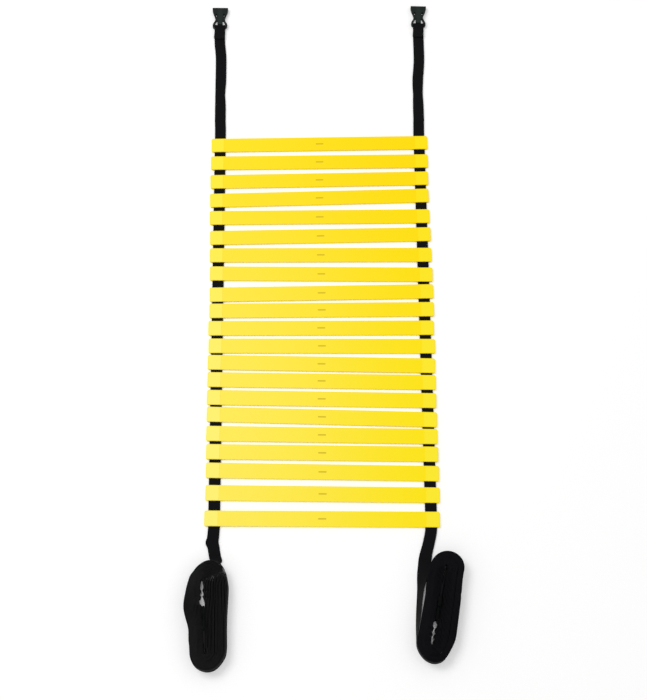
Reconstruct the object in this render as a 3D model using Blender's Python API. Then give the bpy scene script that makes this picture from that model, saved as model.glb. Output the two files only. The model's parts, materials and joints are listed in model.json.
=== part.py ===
"""Agility ladder: flat rungs on two webbing straps, with the spare webbing wound into two hanks.

Frame: +X along the rungs, +Y towards the open buckles, +Z up, floor at z = 0. The origin is the
middle of the middle rung's underside. All lengths are in metres.
"""

import math

import bmesh
import bpy
import numpy as np
from mathutils import Matrix, Vector

# Webbing
WEBBING_WIDTH = 0.025
WEBBING_THICKNESS = 0.0012
STRAP_SPACING = 0.456
TOUCH_GAP = 0.0003
LAYER_GAP = 0.00035

# Rungs
RUNG_WIDTH = 0.0335
RUNG_END_WALL = 0.0045
RUNG_CORNER_RADIUS = 0.0035
RUNG_EDGE_ROUND = 0.0008
RUNG_ROOF = 0.0018
RUNG_SKIRT = 0.002
RUNG_RIB = 0.0016
RUNG_BRIDGE = 0.0012
RUNG_BRIDGE_BAR = 0.007
RUNG_PANEL_STEP = 0.0004
RUNG_PAD_LENGTH = 0.0285
RUNG_HOUSING_WALL = 0.002
TUNNEL_SIDE_CLEARANCE = 0.0025
TUNNEL_HEIGHT_CLEARANCE = 0.00035
POCKETS_PER_ROW = 4
CORNER_SEGMENTS = 3

# Each gap between neighbours as a share of the rung's width, from the buckle end down
RUNG_GAP_SHARES = (
    0.364, 0.349, 0.337, 0.403, 0.388, 0.373, 0.364, 0.349, 0.200, 0.257,
    0.248, 0.236, 0.161, 0.215, 0.206, 0.200, 0.185, 0.245, 0.427, 0.600,
)
# How far each rung is turned on the webbing, in degrees, from the buckle end down
RUNG_YAWS = (
    0.85, 0.61, 1.04, 1.46, 0.46, 0.99, 0.05, -0.45, 0.83, 0.33, 0.0,
    -0.28, -1.13, -0.98, -1.09, -1.67, -1.06, -0.91, -1.12, -0.88, -0.58,
)
# How far each rung sits to one side, as a share of its tunnels' side clearance
RUNG_OFFSET_SHARES = (
    -0.2, -0.3, -0.55, -0.6, -0.5, 0.05, 0.1, 0.5, 0.6, 0.6, 0.0,
    0.5, 0.0, 0.0, -0.1, 0.0, -0.15, 0.0, 0.1, 0.05, -0.5,
)
MIDDLE_RUNG = 10
TOP_SLIDE = 0.12
BOTTOM_SLIDE = 0.015

# Female buckles, with the web bar's axis as their own origin
BAR_RADIUS = 0.0022
BAR_CLEARANCE = 0.0003
FEMALE_FRONT = 0.0482
FEMALE_HEAD_HALF = 0.0182
FEMALE_HEAD_START = 0.0435
FEMALE_WAIST_HALF = 0.0112
FEMALE_WAIST = 0.0175
FEMALE_HEAD_THICKNESS = 0.0086
FRAME_THICKNESS = 0.0056
EAR_HALF = 0.0171
EAR_TOP = 0.003
EAR_BOTTOM = 0.0066
EAR_TIP_HALF = 0.0140
BUCKLE_CHAMFER = 0.0008
SLOT_SIDE_CLEARANCE = 0.0004
SLOT_WRAP_CLEARANCE = 0.0008
TONGUE_HALF = 0.0062
WINDOW_PEAK = 0.0145
WINDOW_PEAK_HALF = 0.0080
SOCKET_HALF = 0.0155
SOCKET_HEIGHT = 0.0054
SOCKET_END = 0.0200
RELIEF_LENGTH = 0.0070
RELIEF_WIDTH = 0.0028
RELIEF_OUT = 0.0088
RELIEF_UP = 0.0285
RELIEF_TILT = 14.0
SECTION_COUNT = 8
BAR_SIDES = 12

# Male buckles, wound into the hanks on edge
MALE_SHOULDER = 0.016
MALE_HALF = 0.0165
PRONG_LENGTH = 0.028
PRONG_SPREAD = 0.0150
PRONG_THICKNESS = 0.0046
TONGUE_GUIDE_HALF = 0.0035
TONGUE_GUIDE_LENGTH = 0.023
# A prong's outline: along its length and out across its spread
PRONG_SHARES = (
    (-0.07, 0.57), (-0.07, 0.79), (0.23, 0.83), (0.42, 1.0), (0.62, 1.0), (0.94, 0.80),
    (1.0, 0.70), (0.93, 0.63), (0.62, 0.76), (0.36, 0.69), (0.16, 0.61),
)

# The webbing's loops round the buckles' bars
FOLD_LENGTH = 0.032
FOLD_TUCK = 0.008
LOOP_YAW_LEFT = -0.4
LOOP_YAW_RIGHT = -1.4
LOOP_OUT_LEFT = 0.0051
LOOP_OUT_RIGHT = 0.0070
TAIL_OUT = 0.001
TAIL_SLACK_LEFT = 0.00375
TAIL_SLACK_RIGHT = 0.00875
TAIL_BEND = 0.135
WRAP_STEP = 30.0
# Each tail's bend beyond the first rung's reach: share of its length, share of its shift to the side
LEFT_TAIL_SHARES = ((0.0, 0.0), (0.55, 0.04), (0.72, 0.30), (0.86, 0.75), (1.0, 1.0))
RIGHT_TAIL_SHARES = ((0.0, 0.0), (0.2, 0.22), (0.4, 0.72), (0.6, 1.0), (1.0, 1.0))

# Hanks: the webbing wound on edge about a flat core
TURN_STEPS_RUN = 4
TURN_STEPS_END = 8
HANK_CORE_GAP = 0.0092
# Each hank's turns, its core's length and tilt, and the space between turns at both ends of the core.
# The lean is how much wider than the mean the turns stand on the right, and narrower on the left.
# The belly is how far the outermost left run swells, between two shares of the core's length.
BELLY_FROM_SHARE = 0.18
BELLY_TO_SHARE = 1.05
LEFT_TURNS = 15
LEFT_CORE = 0.1432
LEFT_GAP_NEAR = 0.00095
LEFT_GAP_FAR = 0.00115
LEFT_LEAN_NEAR = 0.00047
LEFT_LEAN_FAR = 0.00072
LEFT_TILT = 2.36
LEFT_BELLY = 0.0115
LEFT_STRIP = 0.049
LEFT_TWIST = 0.062
LEFT_HANK_SIDE = -0.0198
LEFT_EXIT = 45.0
RIGHT_TURNS = 15
RIGHT_CORE = 0.156
RIGHT_GAP_NEAR = 0.00075
RIGHT_GAP_FAR = 0.00095
RIGHT_LEAN_NEAR = 0.0003
RIGHT_LEAN_FAR = 0.0005
RIGHT_TILT = -11.8
RIGHT_BELLY = 0.0
RIGHT_STRIP = 0.067
RIGHT_TWIST = 0.0411
RIGHT_HANK_SIDE = 0.0245
RIGHT_EXIT = 168.2

# The webbing between the last rung and each hank: share down, share across, share of the quarter turn
LEFT_LEAD_SHARES = (
    (0.0, 0.0, 0.0), (0.22, -0.09, 0.0), (0.38, -0.16, 0.0), (0.535, -0.02, 0.0), (0.64, 0.085, 0.02),
    (0.69, 0.14, 0.06), (0.76, 0.24, 0.20), (0.825, 0.37, 0.45), (0.885, 0.56, 0.72), (0.95, 0.78, 0.93),
)
RIGHT_LEAD_SHARES = (
    (0.0, 0.0, 0.0), (0.055, 0.045, 0.0), (0.11, 0.12, 0.0), (0.18, 0.235, 0.0),
    (0.275, 0.42, 0.03), (0.36, 0.505, 0.17), (0.40, 0.55, 0.26), (0.446, 0.595, 0.38),
    (0.49, 0.645, 0.52), (0.54, 0.70, 0.64), (0.64, 0.785, 0.74), (0.74, 0.855, 0.83),
    (0.84, 0.925, 0.93), (0.93, 0.98, 1.0),
)
LEAD_STEPS = 3

OVERRUN = 0.01
SPREAD_HALF = STRAP_SPACING / 2
HALF_WEB = WEBBING_WIDTH / 2
HALF_SKIN = WEBBING_THICKNESS / 2
LAYER_PITCH = WEBBING_THICKNESS + LAYER_GAP
TUNNEL_HEIGHT = WEBBING_THICKNESS + 2 * TUNNEL_HEIGHT_CLEARANCE
RUNG_HEIGHT = RUNG_BRIDGE + TUNNEL_HEIGHT + RUNG_ROOF
TUNNEL_HALF = HALF_WEB + TUNNEL_SIDE_CLEARANCE
RUNG_LENGTH = STRAP_SPACING + 2 * (TUNNEL_HALF + RUNG_END_WALL)
SLIDE_CLEARANCE = 2 * TOUCH_GAP
WEB_HEIGHT = RUNG_BRIDGE + TUNNEL_HEIGHT / 2
WRAP_RADIUS = BAR_RADIUS + BAR_CLEARANCE + HALF_SKIN
BAR_HEIGHT = FEMALE_HEAD_THICKNESS / 2
SLOT_HALF = HALF_WEB + SLOT_SIDE_CLEARANCE
SLOT_TOP = WRAP_RADIUS + HALF_SKIN + SLOT_WRAP_CLEARANCE
CORE_RADIUS = (HANK_CORE_GAP + WEBBING_THICKNESS) / 2


def clear_scene():
    """Remove whatever objects the file opened with."""
    for item in list(bpy.data.objects):
        bpy.data.objects.remove(item, do_unlink=True)


def material(name, colour, roughness, metallic=0.0):
    """A plain Principled material."""
    made = bpy.data.materials.new(name)
    made.use_nodes = True
    shader = made.node_tree.nodes["Principled BSDF"]
    shader.inputs["Base Color"].default_value = (*colour, 1.0)
    shader.inputs["Roughness"].default_value = roughness
    shader.inputs["Metallic"].default_value = metallic
    return made


def add_object(name, mesh, finish=None):
    """Link a mesh to the scene as one named piece."""
    item = bpy.data.objects.new(name, mesh)
    bpy.context.scene.collection.objects.link(item)
    if finish:
        item.data.materials.clear()
        item.data.materials.append(finish)
    return item


def finish_mesh(name, bm):
    """Turn a bmesh into a mesh with its faces pointing out."""
    bmesh.ops.recalc_face_normals(bm, faces=bm.faces)
    mesh = bpy.data.meshes.new(name)
    bm.to_mesh(mesh)
    bm.free()
    return mesh


def add_box(bm, low, high):
    """A box between two corners."""
    low, high = Vector(low), Vector(high)
    made = bmesh.ops.create_cube(bm, size=1.0)["verts"]
    bmesh.ops.scale(bm, vec=high - low, verts=made)
    bmesh.ops.translate(bm, vec=(low + high) / 2, verts=made)
    return made


def add_prism(bm, outline, low, high):
    """An outline in plan, extruded from one height to another."""
    base = bm.faces.new([bm.verts.new((x, y, low)) for x, y in outline])
    grown = bmesh.ops.extrude_face_region(bm, geom=[base])
    moved = [v for v in grown["geom"] if isinstance(v, bmesh.types.BMVert)]
    bmesh.ops.translate(bm, vec=(0, 0, high - low), verts=moved)


def loft(bm, rings):
    """Skin a row of rings, each with the same number of corners, and cap both ends."""
    rows = [[bm.verts.new(corner) for corner in ring] for ring in rings]
    count = len(rows[0])
    for near, far in zip(rows, rows[1:]):
        for k in range(count):
            after = (k + 1) % count
            bm.faces.new((near[k], near[after], far[after], far[k]))
    bm.faces.new(list(reversed(rows[0])))
    bm.faces.new(rows[-1])


def boolean(body, tool, operation):
    """Cut or join with the exact solver."""
    step = body.modifiers.new(tool.name, "BOOLEAN")
    step.operation = operation
    step.solver = "EXACT"
    step.object = tool
    tool.hide_render = True
    tool.display_type = "WIRE"


def settle(body, tools, name):
    """The body's mesh with all its modifiers worked in; the helpers go."""
    bpy.context.view_layer.update()
    graph = bpy.context.evaluated_depsgraph_get()
    mesh = bpy.data.meshes.new_from_object(body.evaluated_get(graph))
    mesh.name = name
    for item in [body, *tools]:
        bpy.data.objects.remove(item, do_unlink=True)
    return mesh


def ease(share):
    """Smooth step from 0 to 1."""
    share = min(max(share, 0.0), 1.0)
    return share * share * (3 - 2 * share)


def smooth_route(points, steps):
    """A Catmull-Rom curve through points of any dimension, with steps pieces per span."""
    points = [np.array(p, dtype=float) for p in points]
    padded = [2 * points[0] - points[1], *points, 2 * points[-1] - points[-2]]
    out = []
    for i in range(len(points) - 1):
        a, b, c, d = padded[i:i + 4]
        for k in range(steps):
            s = k / steps
            out.append(
                (2 * b + (c - a) * s + (2 * a - 5 * b + 4 * c - d) * s ** 2
                 + (3 * b - a - 3 * c + d) * s ** 3) / 2
            )
    out.append(points[-1])
    return out


def plate_with_round_corners():
    """The rung's outside: a plate with rounded corners and eased top edges."""
    bm = bmesh.new()
    half = Vector((RUNG_LENGTH / 2, RUNG_WIDTH / 2, 0))
    add_box(bm, -half, half + Vector((0, 0, RUNG_HEIGHT)))
    upright = [e for e in bm.edges if abs(e.verts[0].co.z - e.verts[1].co.z) > RUNG_HEIGHT / 2]
    bmesh.ops.bevel(
        bm, geom=upright, offset=RUNG_CORNER_RADIUS, segments=CORNER_SEGMENTS, profile=0.5,
        affect="EDGES", offset_type="OFFSET", material=-1,
    )
    rim = [e for e in bm.edges if min(v.co.z for v in e.verts) > RUNG_HEIGHT - RUNG_EDGE_ROUND / 2]
    bmesh.ops.bevel(
        bm, geom=rim, offset=RUNG_EDGE_ROUND, segments=1, profile=0.5,
        affect="EDGES", offset_type="OFFSET", material=-1,
    )
    return add_object("rung_blank", finish_mesh("rung_blank", bm))


def rung_mesh():
    """One rung: ribbed underside, raised end housings, and a webbing tunnel through each end."""
    body = plate_with_round_corners()
    tools = []
    housing = SPREAD_HALF - TUNNEL_HALF - RUNG_HOUSING_WALL
    edge = RUNG_WIDTH / 2

    bm = bmesh.new()
    roof = RUNG_HEIGHT - RUNG_PANEL_STEP - RUNG_ROOF
    pitch = (2 * housing + RUNG_RIB) / POCKETS_PER_ROW
    for column in range(POCKETS_PER_ROW):
        left = -housing + column * pitch
        for side in (-1, 1):
            inner, outer = side * RUNG_RIB / 2, side * (edge - RUNG_SKIRT)
            add_box(
                bm,
                (left, min(inner, outer), -OVERRUN),
                (left + pitch - RUNG_RIB, max(inner, outer), roof),
            )
    tools.append(add_object("rung_pockets", finish_mesh("rung_pockets", bm)))

    bm = bmesh.new()
    panel = RUNG_LENGTH / 2 - RUNG_PAD_LENGTH
    add_box(
        bm,
        (-panel, -edge - OVERRUN, RUNG_HEIGHT - RUNG_PANEL_STEP),
        (panel, edge + OVERRUN, RUNG_HEIGHT + OVERRUN),
    )
    tools.append(add_object("rung_panel", finish_mesh("rung_panel", bm)))

    for side in (-1, 1):
        bm = bmesh.new()
        middle = side * SPREAD_HALF
        add_box(
            bm,
            (middle - TUNNEL_HALF, -edge - OVERRUN, RUNG_BRIDGE),
            (middle + TUNNEL_HALF, edge + OVERRUN, RUNG_BRIDGE + TUNNEL_HEIGHT),
        )
        tools.append(add_object("rung_tunnel", finish_mesh("rung_tunnel", bm)))
        bm = bmesh.new()
        window = edge - RUNG_BRIDGE_BAR
        add_box(
            bm,
            (middle - TUNNEL_HALF + RUNG_RIB, -window, -OVERRUN),
            (middle + TUNNEL_HALF - RUNG_RIB, window, RUNG_BRIDGE + TUNNEL_HEIGHT / 2),
        )
        tools.append(add_object("rung_window", finish_mesh("rung_window", bm)))
    for tool in tools:
        boolean(body, tool, "DIFFERENCE")
    return settle(body, tools, "rung")


def rung_places():
    """Each rung's middle height along the straps, from the buckle end down."""
    below = [0.0]
    for share in RUNG_GAP_SHARES:
        below.append(below[-1] - RUNG_WIDTH * (1 + share))
    shift = below[MIDDLE_RUNG]
    return [y - shift for y in below]


def rung_room(upper, lower, places):
    """The least gap between two neighbours, allowing for how each is turned."""
    reach = RUNG_LENGTH / 2
    tall = [RUNG_WIDTH / 2 / math.cos(math.radians(RUNG_YAWS[i])) for i in (upper, lower)]
    slant = math.tan(math.radians(RUNG_YAWS[upper])) - math.tan(math.radians(RUNG_YAWS[lower]))
    return places[upper] - places[lower] - sum(tall) - reach * abs(slant)


def build_rungs(finish):
    """All the rungs on the straps, sharing one mesh, and their room to slide."""
    mesh = rung_mesh()
    mesh.materials.clear()
    mesh.materials.append(finish)
    places = rung_places()
    last = len(places) - 1
    for i, y in enumerate(places):
        item = add_object(f"rung_{i + 1:02d}", mesh)
        item.location = (RUNG_OFFSET_SHARES[i] * TUNNEL_SIDE_CLEARANCE, y, 0)
        item.rotation_euler = (0, 0, math.radians(RUNG_YAWS[i]))
        up = TOP_SLIDE if i == 0 else rung_room(i - 1, i, places) - SLIDE_CLEARANCE
        down = BOTTOM_SLIDE if i == last else rung_room(i, i + 1, places) - SLIDE_CLEARANCE
        print(f"rung_{i + 1:02d} at y {y:.4f} slides {-down:.4f} to {up:.4f}")
    return places


def buckle_ring(y, half, thickness):
    """One cross-section of a buckle: a rectangle with eased corners."""
    ease_in = min(BUCKLE_CHAMFER, half / 2)
    top = thickness / 2
    quarter = ((half, top - ease_in), (half - ease_in, top))
    corners = [
        quarter[0], quarter[1], (-quarter[1][0], top), (-half, quarter[0][1]),
        (-half, -quarter[0][1]), (-quarter[1][0], -top), (quarter[1][0], -top), (half, -quarter[0][1]),
    ]
    return [(x, y, z) for x, z in corners]


def ear_rings():
    """The frame's end beside the bar, shared by both halves of the buckle."""
    return [
        buckle_ring(-EAR_BOTTOM, EAR_TIP_HALF, FRAME_THICKNESS - BUCKLE_CHAMFER),
        buckle_ring(-EAR_BOTTOM + 2 * BUCKLE_CHAMFER, (EAR_TIP_HALF + EAR_HALF) / 2, FRAME_THICKNESS),
    ]


def female_rings():
    """The socket half's outline: ears, narrow waist and wide mouth."""
    rings = ear_rings()
    rings.append(buckle_ring(-EAR_TOP / 2, EAR_HALF, FRAME_THICKNESS))
    for k in range(SECTION_COUNT + 1):
        share = k / SECTION_COUNT
        y = EAR_TOP + (FEMALE_WAIST - EAR_TOP) * share
        half = EAR_HALF + (FEMALE_WAIST_HALF - EAR_HALF) * ease(share)
        swell = ease((share - 0.5) * 2)
        rings.append(
            buckle_ring(y, half, FRAME_THICKNESS + (FEMALE_HEAD_THICKNESS - FRAME_THICKNESS) * swell)
        )
    for k in range(1, SECTION_COUNT + 1):
        share = k / SECTION_COUNT
        y = FEMALE_WAIST + (FEMALE_HEAD_START - FEMALE_WAIST) * share
        half = FEMALE_WAIST_HALF + (FEMALE_HEAD_HALF - FEMALE_WAIST_HALF) * ease(share)
        rings.append(buckle_ring(y, half, FEMALE_HEAD_THICKNESS))
    rings.append(
        buckle_ring(FEMALE_FRONT - BUCKLE_CHAMFER / 2, FEMALE_HEAD_HALF, FEMALE_HEAD_THICKNESS)
    )
    rings.append(
        buckle_ring(
            FEMALE_FRONT, FEMALE_HEAD_HALF - BUCKLE_CHAMFER / 2, FEMALE_HEAD_THICKNESS - BUCKLE_CHAMFER
        )
    )
    return rings


def web_bar():
    """The round bar that the webbing loops round, reaching into both side arms."""
    bm = bmesh.new()
    length = 2 * SLOT_HALF + (EAR_HALF - SLOT_HALF)
    bmesh.ops.create_cone(
        bm, cap_ends=True, segments=BAR_SIDES, radius1=BAR_RADIUS, radius2=BAR_RADIUS, depth=length,
        matrix=Matrix.Rotation(math.pi / 2, 4, "Y"),
    )
    return add_object("web_bar", finish_mesh("web_bar", bm))


def web_slot():
    """The space round the bar for the webbing."""
    bm = bmesh.new()
    deep = FEMALE_HEAD_THICKNESS
    add_box(bm, (-SLOT_HALF, -EAR_BOTTOM - OVERRUN, -deep), (SLOT_HALF, SLOT_TOP, deep))
    return add_object("web_slot", finish_mesh("web_slot", bm))


def female_mesh():
    """The socket half of a side-release buckle, lying flat with its bar on the X axis."""
    bm = bmesh.new()
    loft(bm, female_rings())
    body = add_object("female_blank", finish_mesh("female_blank", bm))
    cuts = []

    bm = bmesh.new()
    add_box(
        bm,
        (-SOCKET_HALF, SOCKET_END, -SOCKET_HEIGHT / 2),
        (SOCKET_HALF, FEMALE_FRONT + OVERRUN, SOCKET_HEIGHT / 2),
    )
    cuts.append(add_object("female_socket", finish_mesh("female_socket", bm)))
    cuts.append(web_slot())

    bm = bmesh.new()
    deep = FEMALE_HEAD_THICKNESS
    for side in (-1, 1):
        start = SLOT_TOP - BAR_RADIUS / 2
        outline = [
            (side * TONGUE_HALF, start),
            (side * (SLOT_HALF - SLOT_SIDE_CLEARANCE), start),
            (side * WINDOW_PEAK_HALF, WINDOW_PEAK),
            (side * TONGUE_HALF, WINDOW_PEAK),
        ]
        add_prism(bm, outline if side > 0 else outline[::-1], -deep, deep)
    cuts.append(add_object("female_windows", finish_mesh("female_windows", bm)))

    bm = bmesh.new()
    for side in (-1, 1):
        made = add_box(
            bm,
            (-RELIEF_WIDTH / 2, -RELIEF_LENGTH / 2, -deep),
            (RELIEF_WIDTH / 2, RELIEF_LENGTH / 2, deep),
        )
        turn = Matrix.Rotation(math.radians(-side * RELIEF_TILT), 4, "Z")
        bmesh.ops.transform(
            bm, matrix=Matrix.Translation((side * RELIEF_OUT, RELIEF_UP, 0)) @ turn, verts=made
        )
    cuts.append(add_object("female_reliefs", finish_mesh("female_reliefs", bm)))

    for tool in cuts:
        boolean(body, tool, "DIFFERENCE")
    bar = web_bar()
    boolean(body, bar, "UNION")
    return settle(body, [*cuts, bar], "female_buckle")


def male_mesh():
    """The plug half: a barred frame, a guide tongue and two springy side prongs."""
    bm = bmesh.new()
    rings = ear_rings()
    rings.append(buckle_ring(-EAR_TOP / 2, MALE_HALF, FRAME_THICKNESS))
    rings.append(buckle_ring(MALE_SHOULDER - BUCKLE_CHAMFER, MALE_HALF, FRAME_THICKNESS))
    rings.append(buckle_ring(MALE_SHOULDER, MALE_HALF - BUCKLE_CHAMFER, FRAME_THICKNESS - BUCKLE_CHAMFER))
    loft(bm, rings)
    body = add_object("male_blank", finish_mesh("male_blank", bm))
    slot = web_slot()
    boolean(body, slot, "DIFFERENCE")
    tools = [slot]

    joins = [web_bar()]
    for side in (-1, 1):
        bm = bmesh.new()
        outline = [
            (side * across * PRONG_SPREAD, MALE_SHOULDER + along * PRONG_LENGTH)
            for along, across in PRONG_SHARES
        ]
        add_prism(bm, outline if side > 0 else outline[::-1], -PRONG_THICKNESS / 2, PRONG_THICKNESS / 2)
        joins.append(add_object("male_prong", finish_mesh("male_prong", bm)))
    bm = bmesh.new()
    tip = MALE_SHOULDER + TONGUE_GUIDE_LENGTH
    narrow = TONGUE_GUIDE_HALF / 2
    outline = [
        (-TONGUE_GUIDE_HALF, MALE_SHOULDER - BAR_RADIUS), (TONGUE_GUIDE_HALF, MALE_SHOULDER - BAR_RADIUS),
        (TONGUE_GUIDE_HALF, tip - narrow), (narrow, tip), (-narrow, tip), (-TONGUE_GUIDE_HALF, tip - narrow),
    ]
    add_prism(bm, outline, -PRONG_THICKNESS / 2, PRONG_THICKNESS / 2)
    joins.append(add_object("male_tongue", finish_mesh("male_tongue", bm)))
    for tool in joins:
        boolean(body, tool, "UNION")
    return settle(body, tools + joins, "male_buckle")


def ribbon_mesh(name, centres, acrosses):
    """A flat strip as one closed body: a thin rectangle carried along its centre line."""
    rings = []
    last = len(centres) - 1
    for i, (centre, across) in enumerate(zip(centres, acrosses)):
        centre, across = Vector(centre), Vector(across)
        if i in (0, last):
            along = Vector(centres[min(i + 1, last)]) - Vector(centres[max(i - 1, 0)])
        else:
            back = (centre - Vector(centres[i - 1])).normalized()
            ahead = (Vector(centres[i + 1]) - centre).normalized()
            along = back + ahead
        along.normalize()
        side = (across - along * across.dot(along)).normalized()
        face = along.cross(side)
        wide, thick = side * HALF_WEB, face * HALF_SKIN
        rings.append([centre - wide - thick, centre + wide - thick, centre + wide + thick, centre - wide + thick])
    bm = bmesh.new()
    loft(bm, rings)
    return finish_mesh(name, bm)


def least_gap(centres, turn):
    """The least clear space between turns: centre lines at least half a turn apart, less one thickness."""
    pts = np.array([(p[0], p[1]) for p in centres])
    starts, ends = pts[:-1], pts[1:]
    along = ends - starts
    length = np.maximum((along ** 2).sum(1), 1e-18)
    least = math.inf
    for i, point in enumerate(pts):
        share = np.clip(((point - starts) * along).sum(1) / length, 0, 1)
        away = np.linalg.norm(starts + along * share[:, None] - point, axis=1)
        index = np.arange(len(starts))
        away[np.abs(index - i) < turn // 2] = math.inf
        least = min(least, away.min())
    return least - WEBBING_THICKNESS


def hank_route(turns, core, strip, gaps, leans, belly, exit_angle):
    """The wound webbing's centre line in the hank's own plan, from the inner end outwards.

    It starts with the stitched fold round the plug buckle's bar, runs down the core, and then winds
    turn over turn round two ends: the near one at (0, 0) and the far one at (0, core).
    Returns the points, each with its share of the lift towards the buckle.
    """
    layer = LAYER_PITCH / 2
    route = [
        (-layer, strip - FOLD_LENGTH, 1.0),
        (-layer, strip - 3 * WRAP_RADIUS, 1.0),
        (-(layer + WRAP_RADIUS) / 2, strip - 1.5 * WRAP_RADIUS, 1.0),
    ]
    wrap_steps = round(math.tau / 2 / math.radians(WRAP_STEP))
    for k in range(wrap_steps + 1):
        angle = math.pi - math.radians(WRAP_STEP) * k
        route.append((WRAP_RADIUS * math.cos(angle), strip + WRAP_RADIUS * math.sin(angle), 1.0))
    route.append(((layer + WRAP_RADIUS) / 2, strip - 1.5 * WRAP_RADIUS, 1.0))
    route.append((layer, strip - 3 * WRAP_RADIUS, 1.0))
    route.append((layer, 0.0, 0.12))
    turn_radius = (CORE_RADIUS - layer) / 2
    half_steps = TURN_STEPS_END // 2
    for k in range(1, half_steps + 1):
        angle = math.pi + math.pi * k / half_steps
        lift = 0.12 * (1 - k / half_steps)
        route.append((layer + turn_radius * (1 + math.cos(angle)), turn_radius * math.sin(angle), lift))

    steps = 2 * (TURN_STEPS_RUN + TURN_STEPS_END)
    exit_reached = False
    index = 1
    while not exit_reached:
        loop, k = divmod(index, steps)
        if k <= TURN_STEPS_RUN:
            share, angle = k / TURN_STEPS_RUN, 0.0
        elif k <= TURN_STEPS_RUN + TURN_STEPS_END:
            share, angle = 1.0, math.pi * (k - TURN_STEPS_RUN) / TURN_STEPS_END
        elif k <= 2 * TURN_STEPS_RUN + TURN_STEPS_END:
            share, angle = 1.0 - (k - TURN_STEPS_RUN - TURN_STEPS_END) / TURN_STEPS_RUN, math.pi
        else:
            share = 0.0
            angle = math.pi * (1 + (k - 2 * TURN_STEPS_RUN - TURN_STEPS_END) / TURN_STEPS_END)
        turned = index / steps
        if loop == turns and share == 1.0 and angle >= exit_angle - 1e-9:
            turned = loop + (TURN_STEPS_RUN + TURN_STEPS_END * exit_angle / math.pi) / steps
            angle = exit_angle
            exit_reached = True
        lean = leans[0] + (leans[1] - leans[0]) * share
        pitch = WEBBING_THICKNESS + gaps[0] + (gaps[1] - gaps[0]) * share + lean * math.cos(angle)
        radius = CORE_RADIUS + turned * pitch
        bulge = 0.0
        if angle == math.pi:
            swell = min(max((share - BELLY_FROM_SHARE) / (BELLY_TO_SHARE - BELLY_FROM_SHARE), 0.0), 1.0)
            bulge = belly * (turned / turns) * math.sin(math.pi * swell) ** 2
        route.append(
            (radius * math.cos(angle) - bulge, core * share + radius * math.sin(angle), 0.0)
        )
        index += 1
    return route


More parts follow.
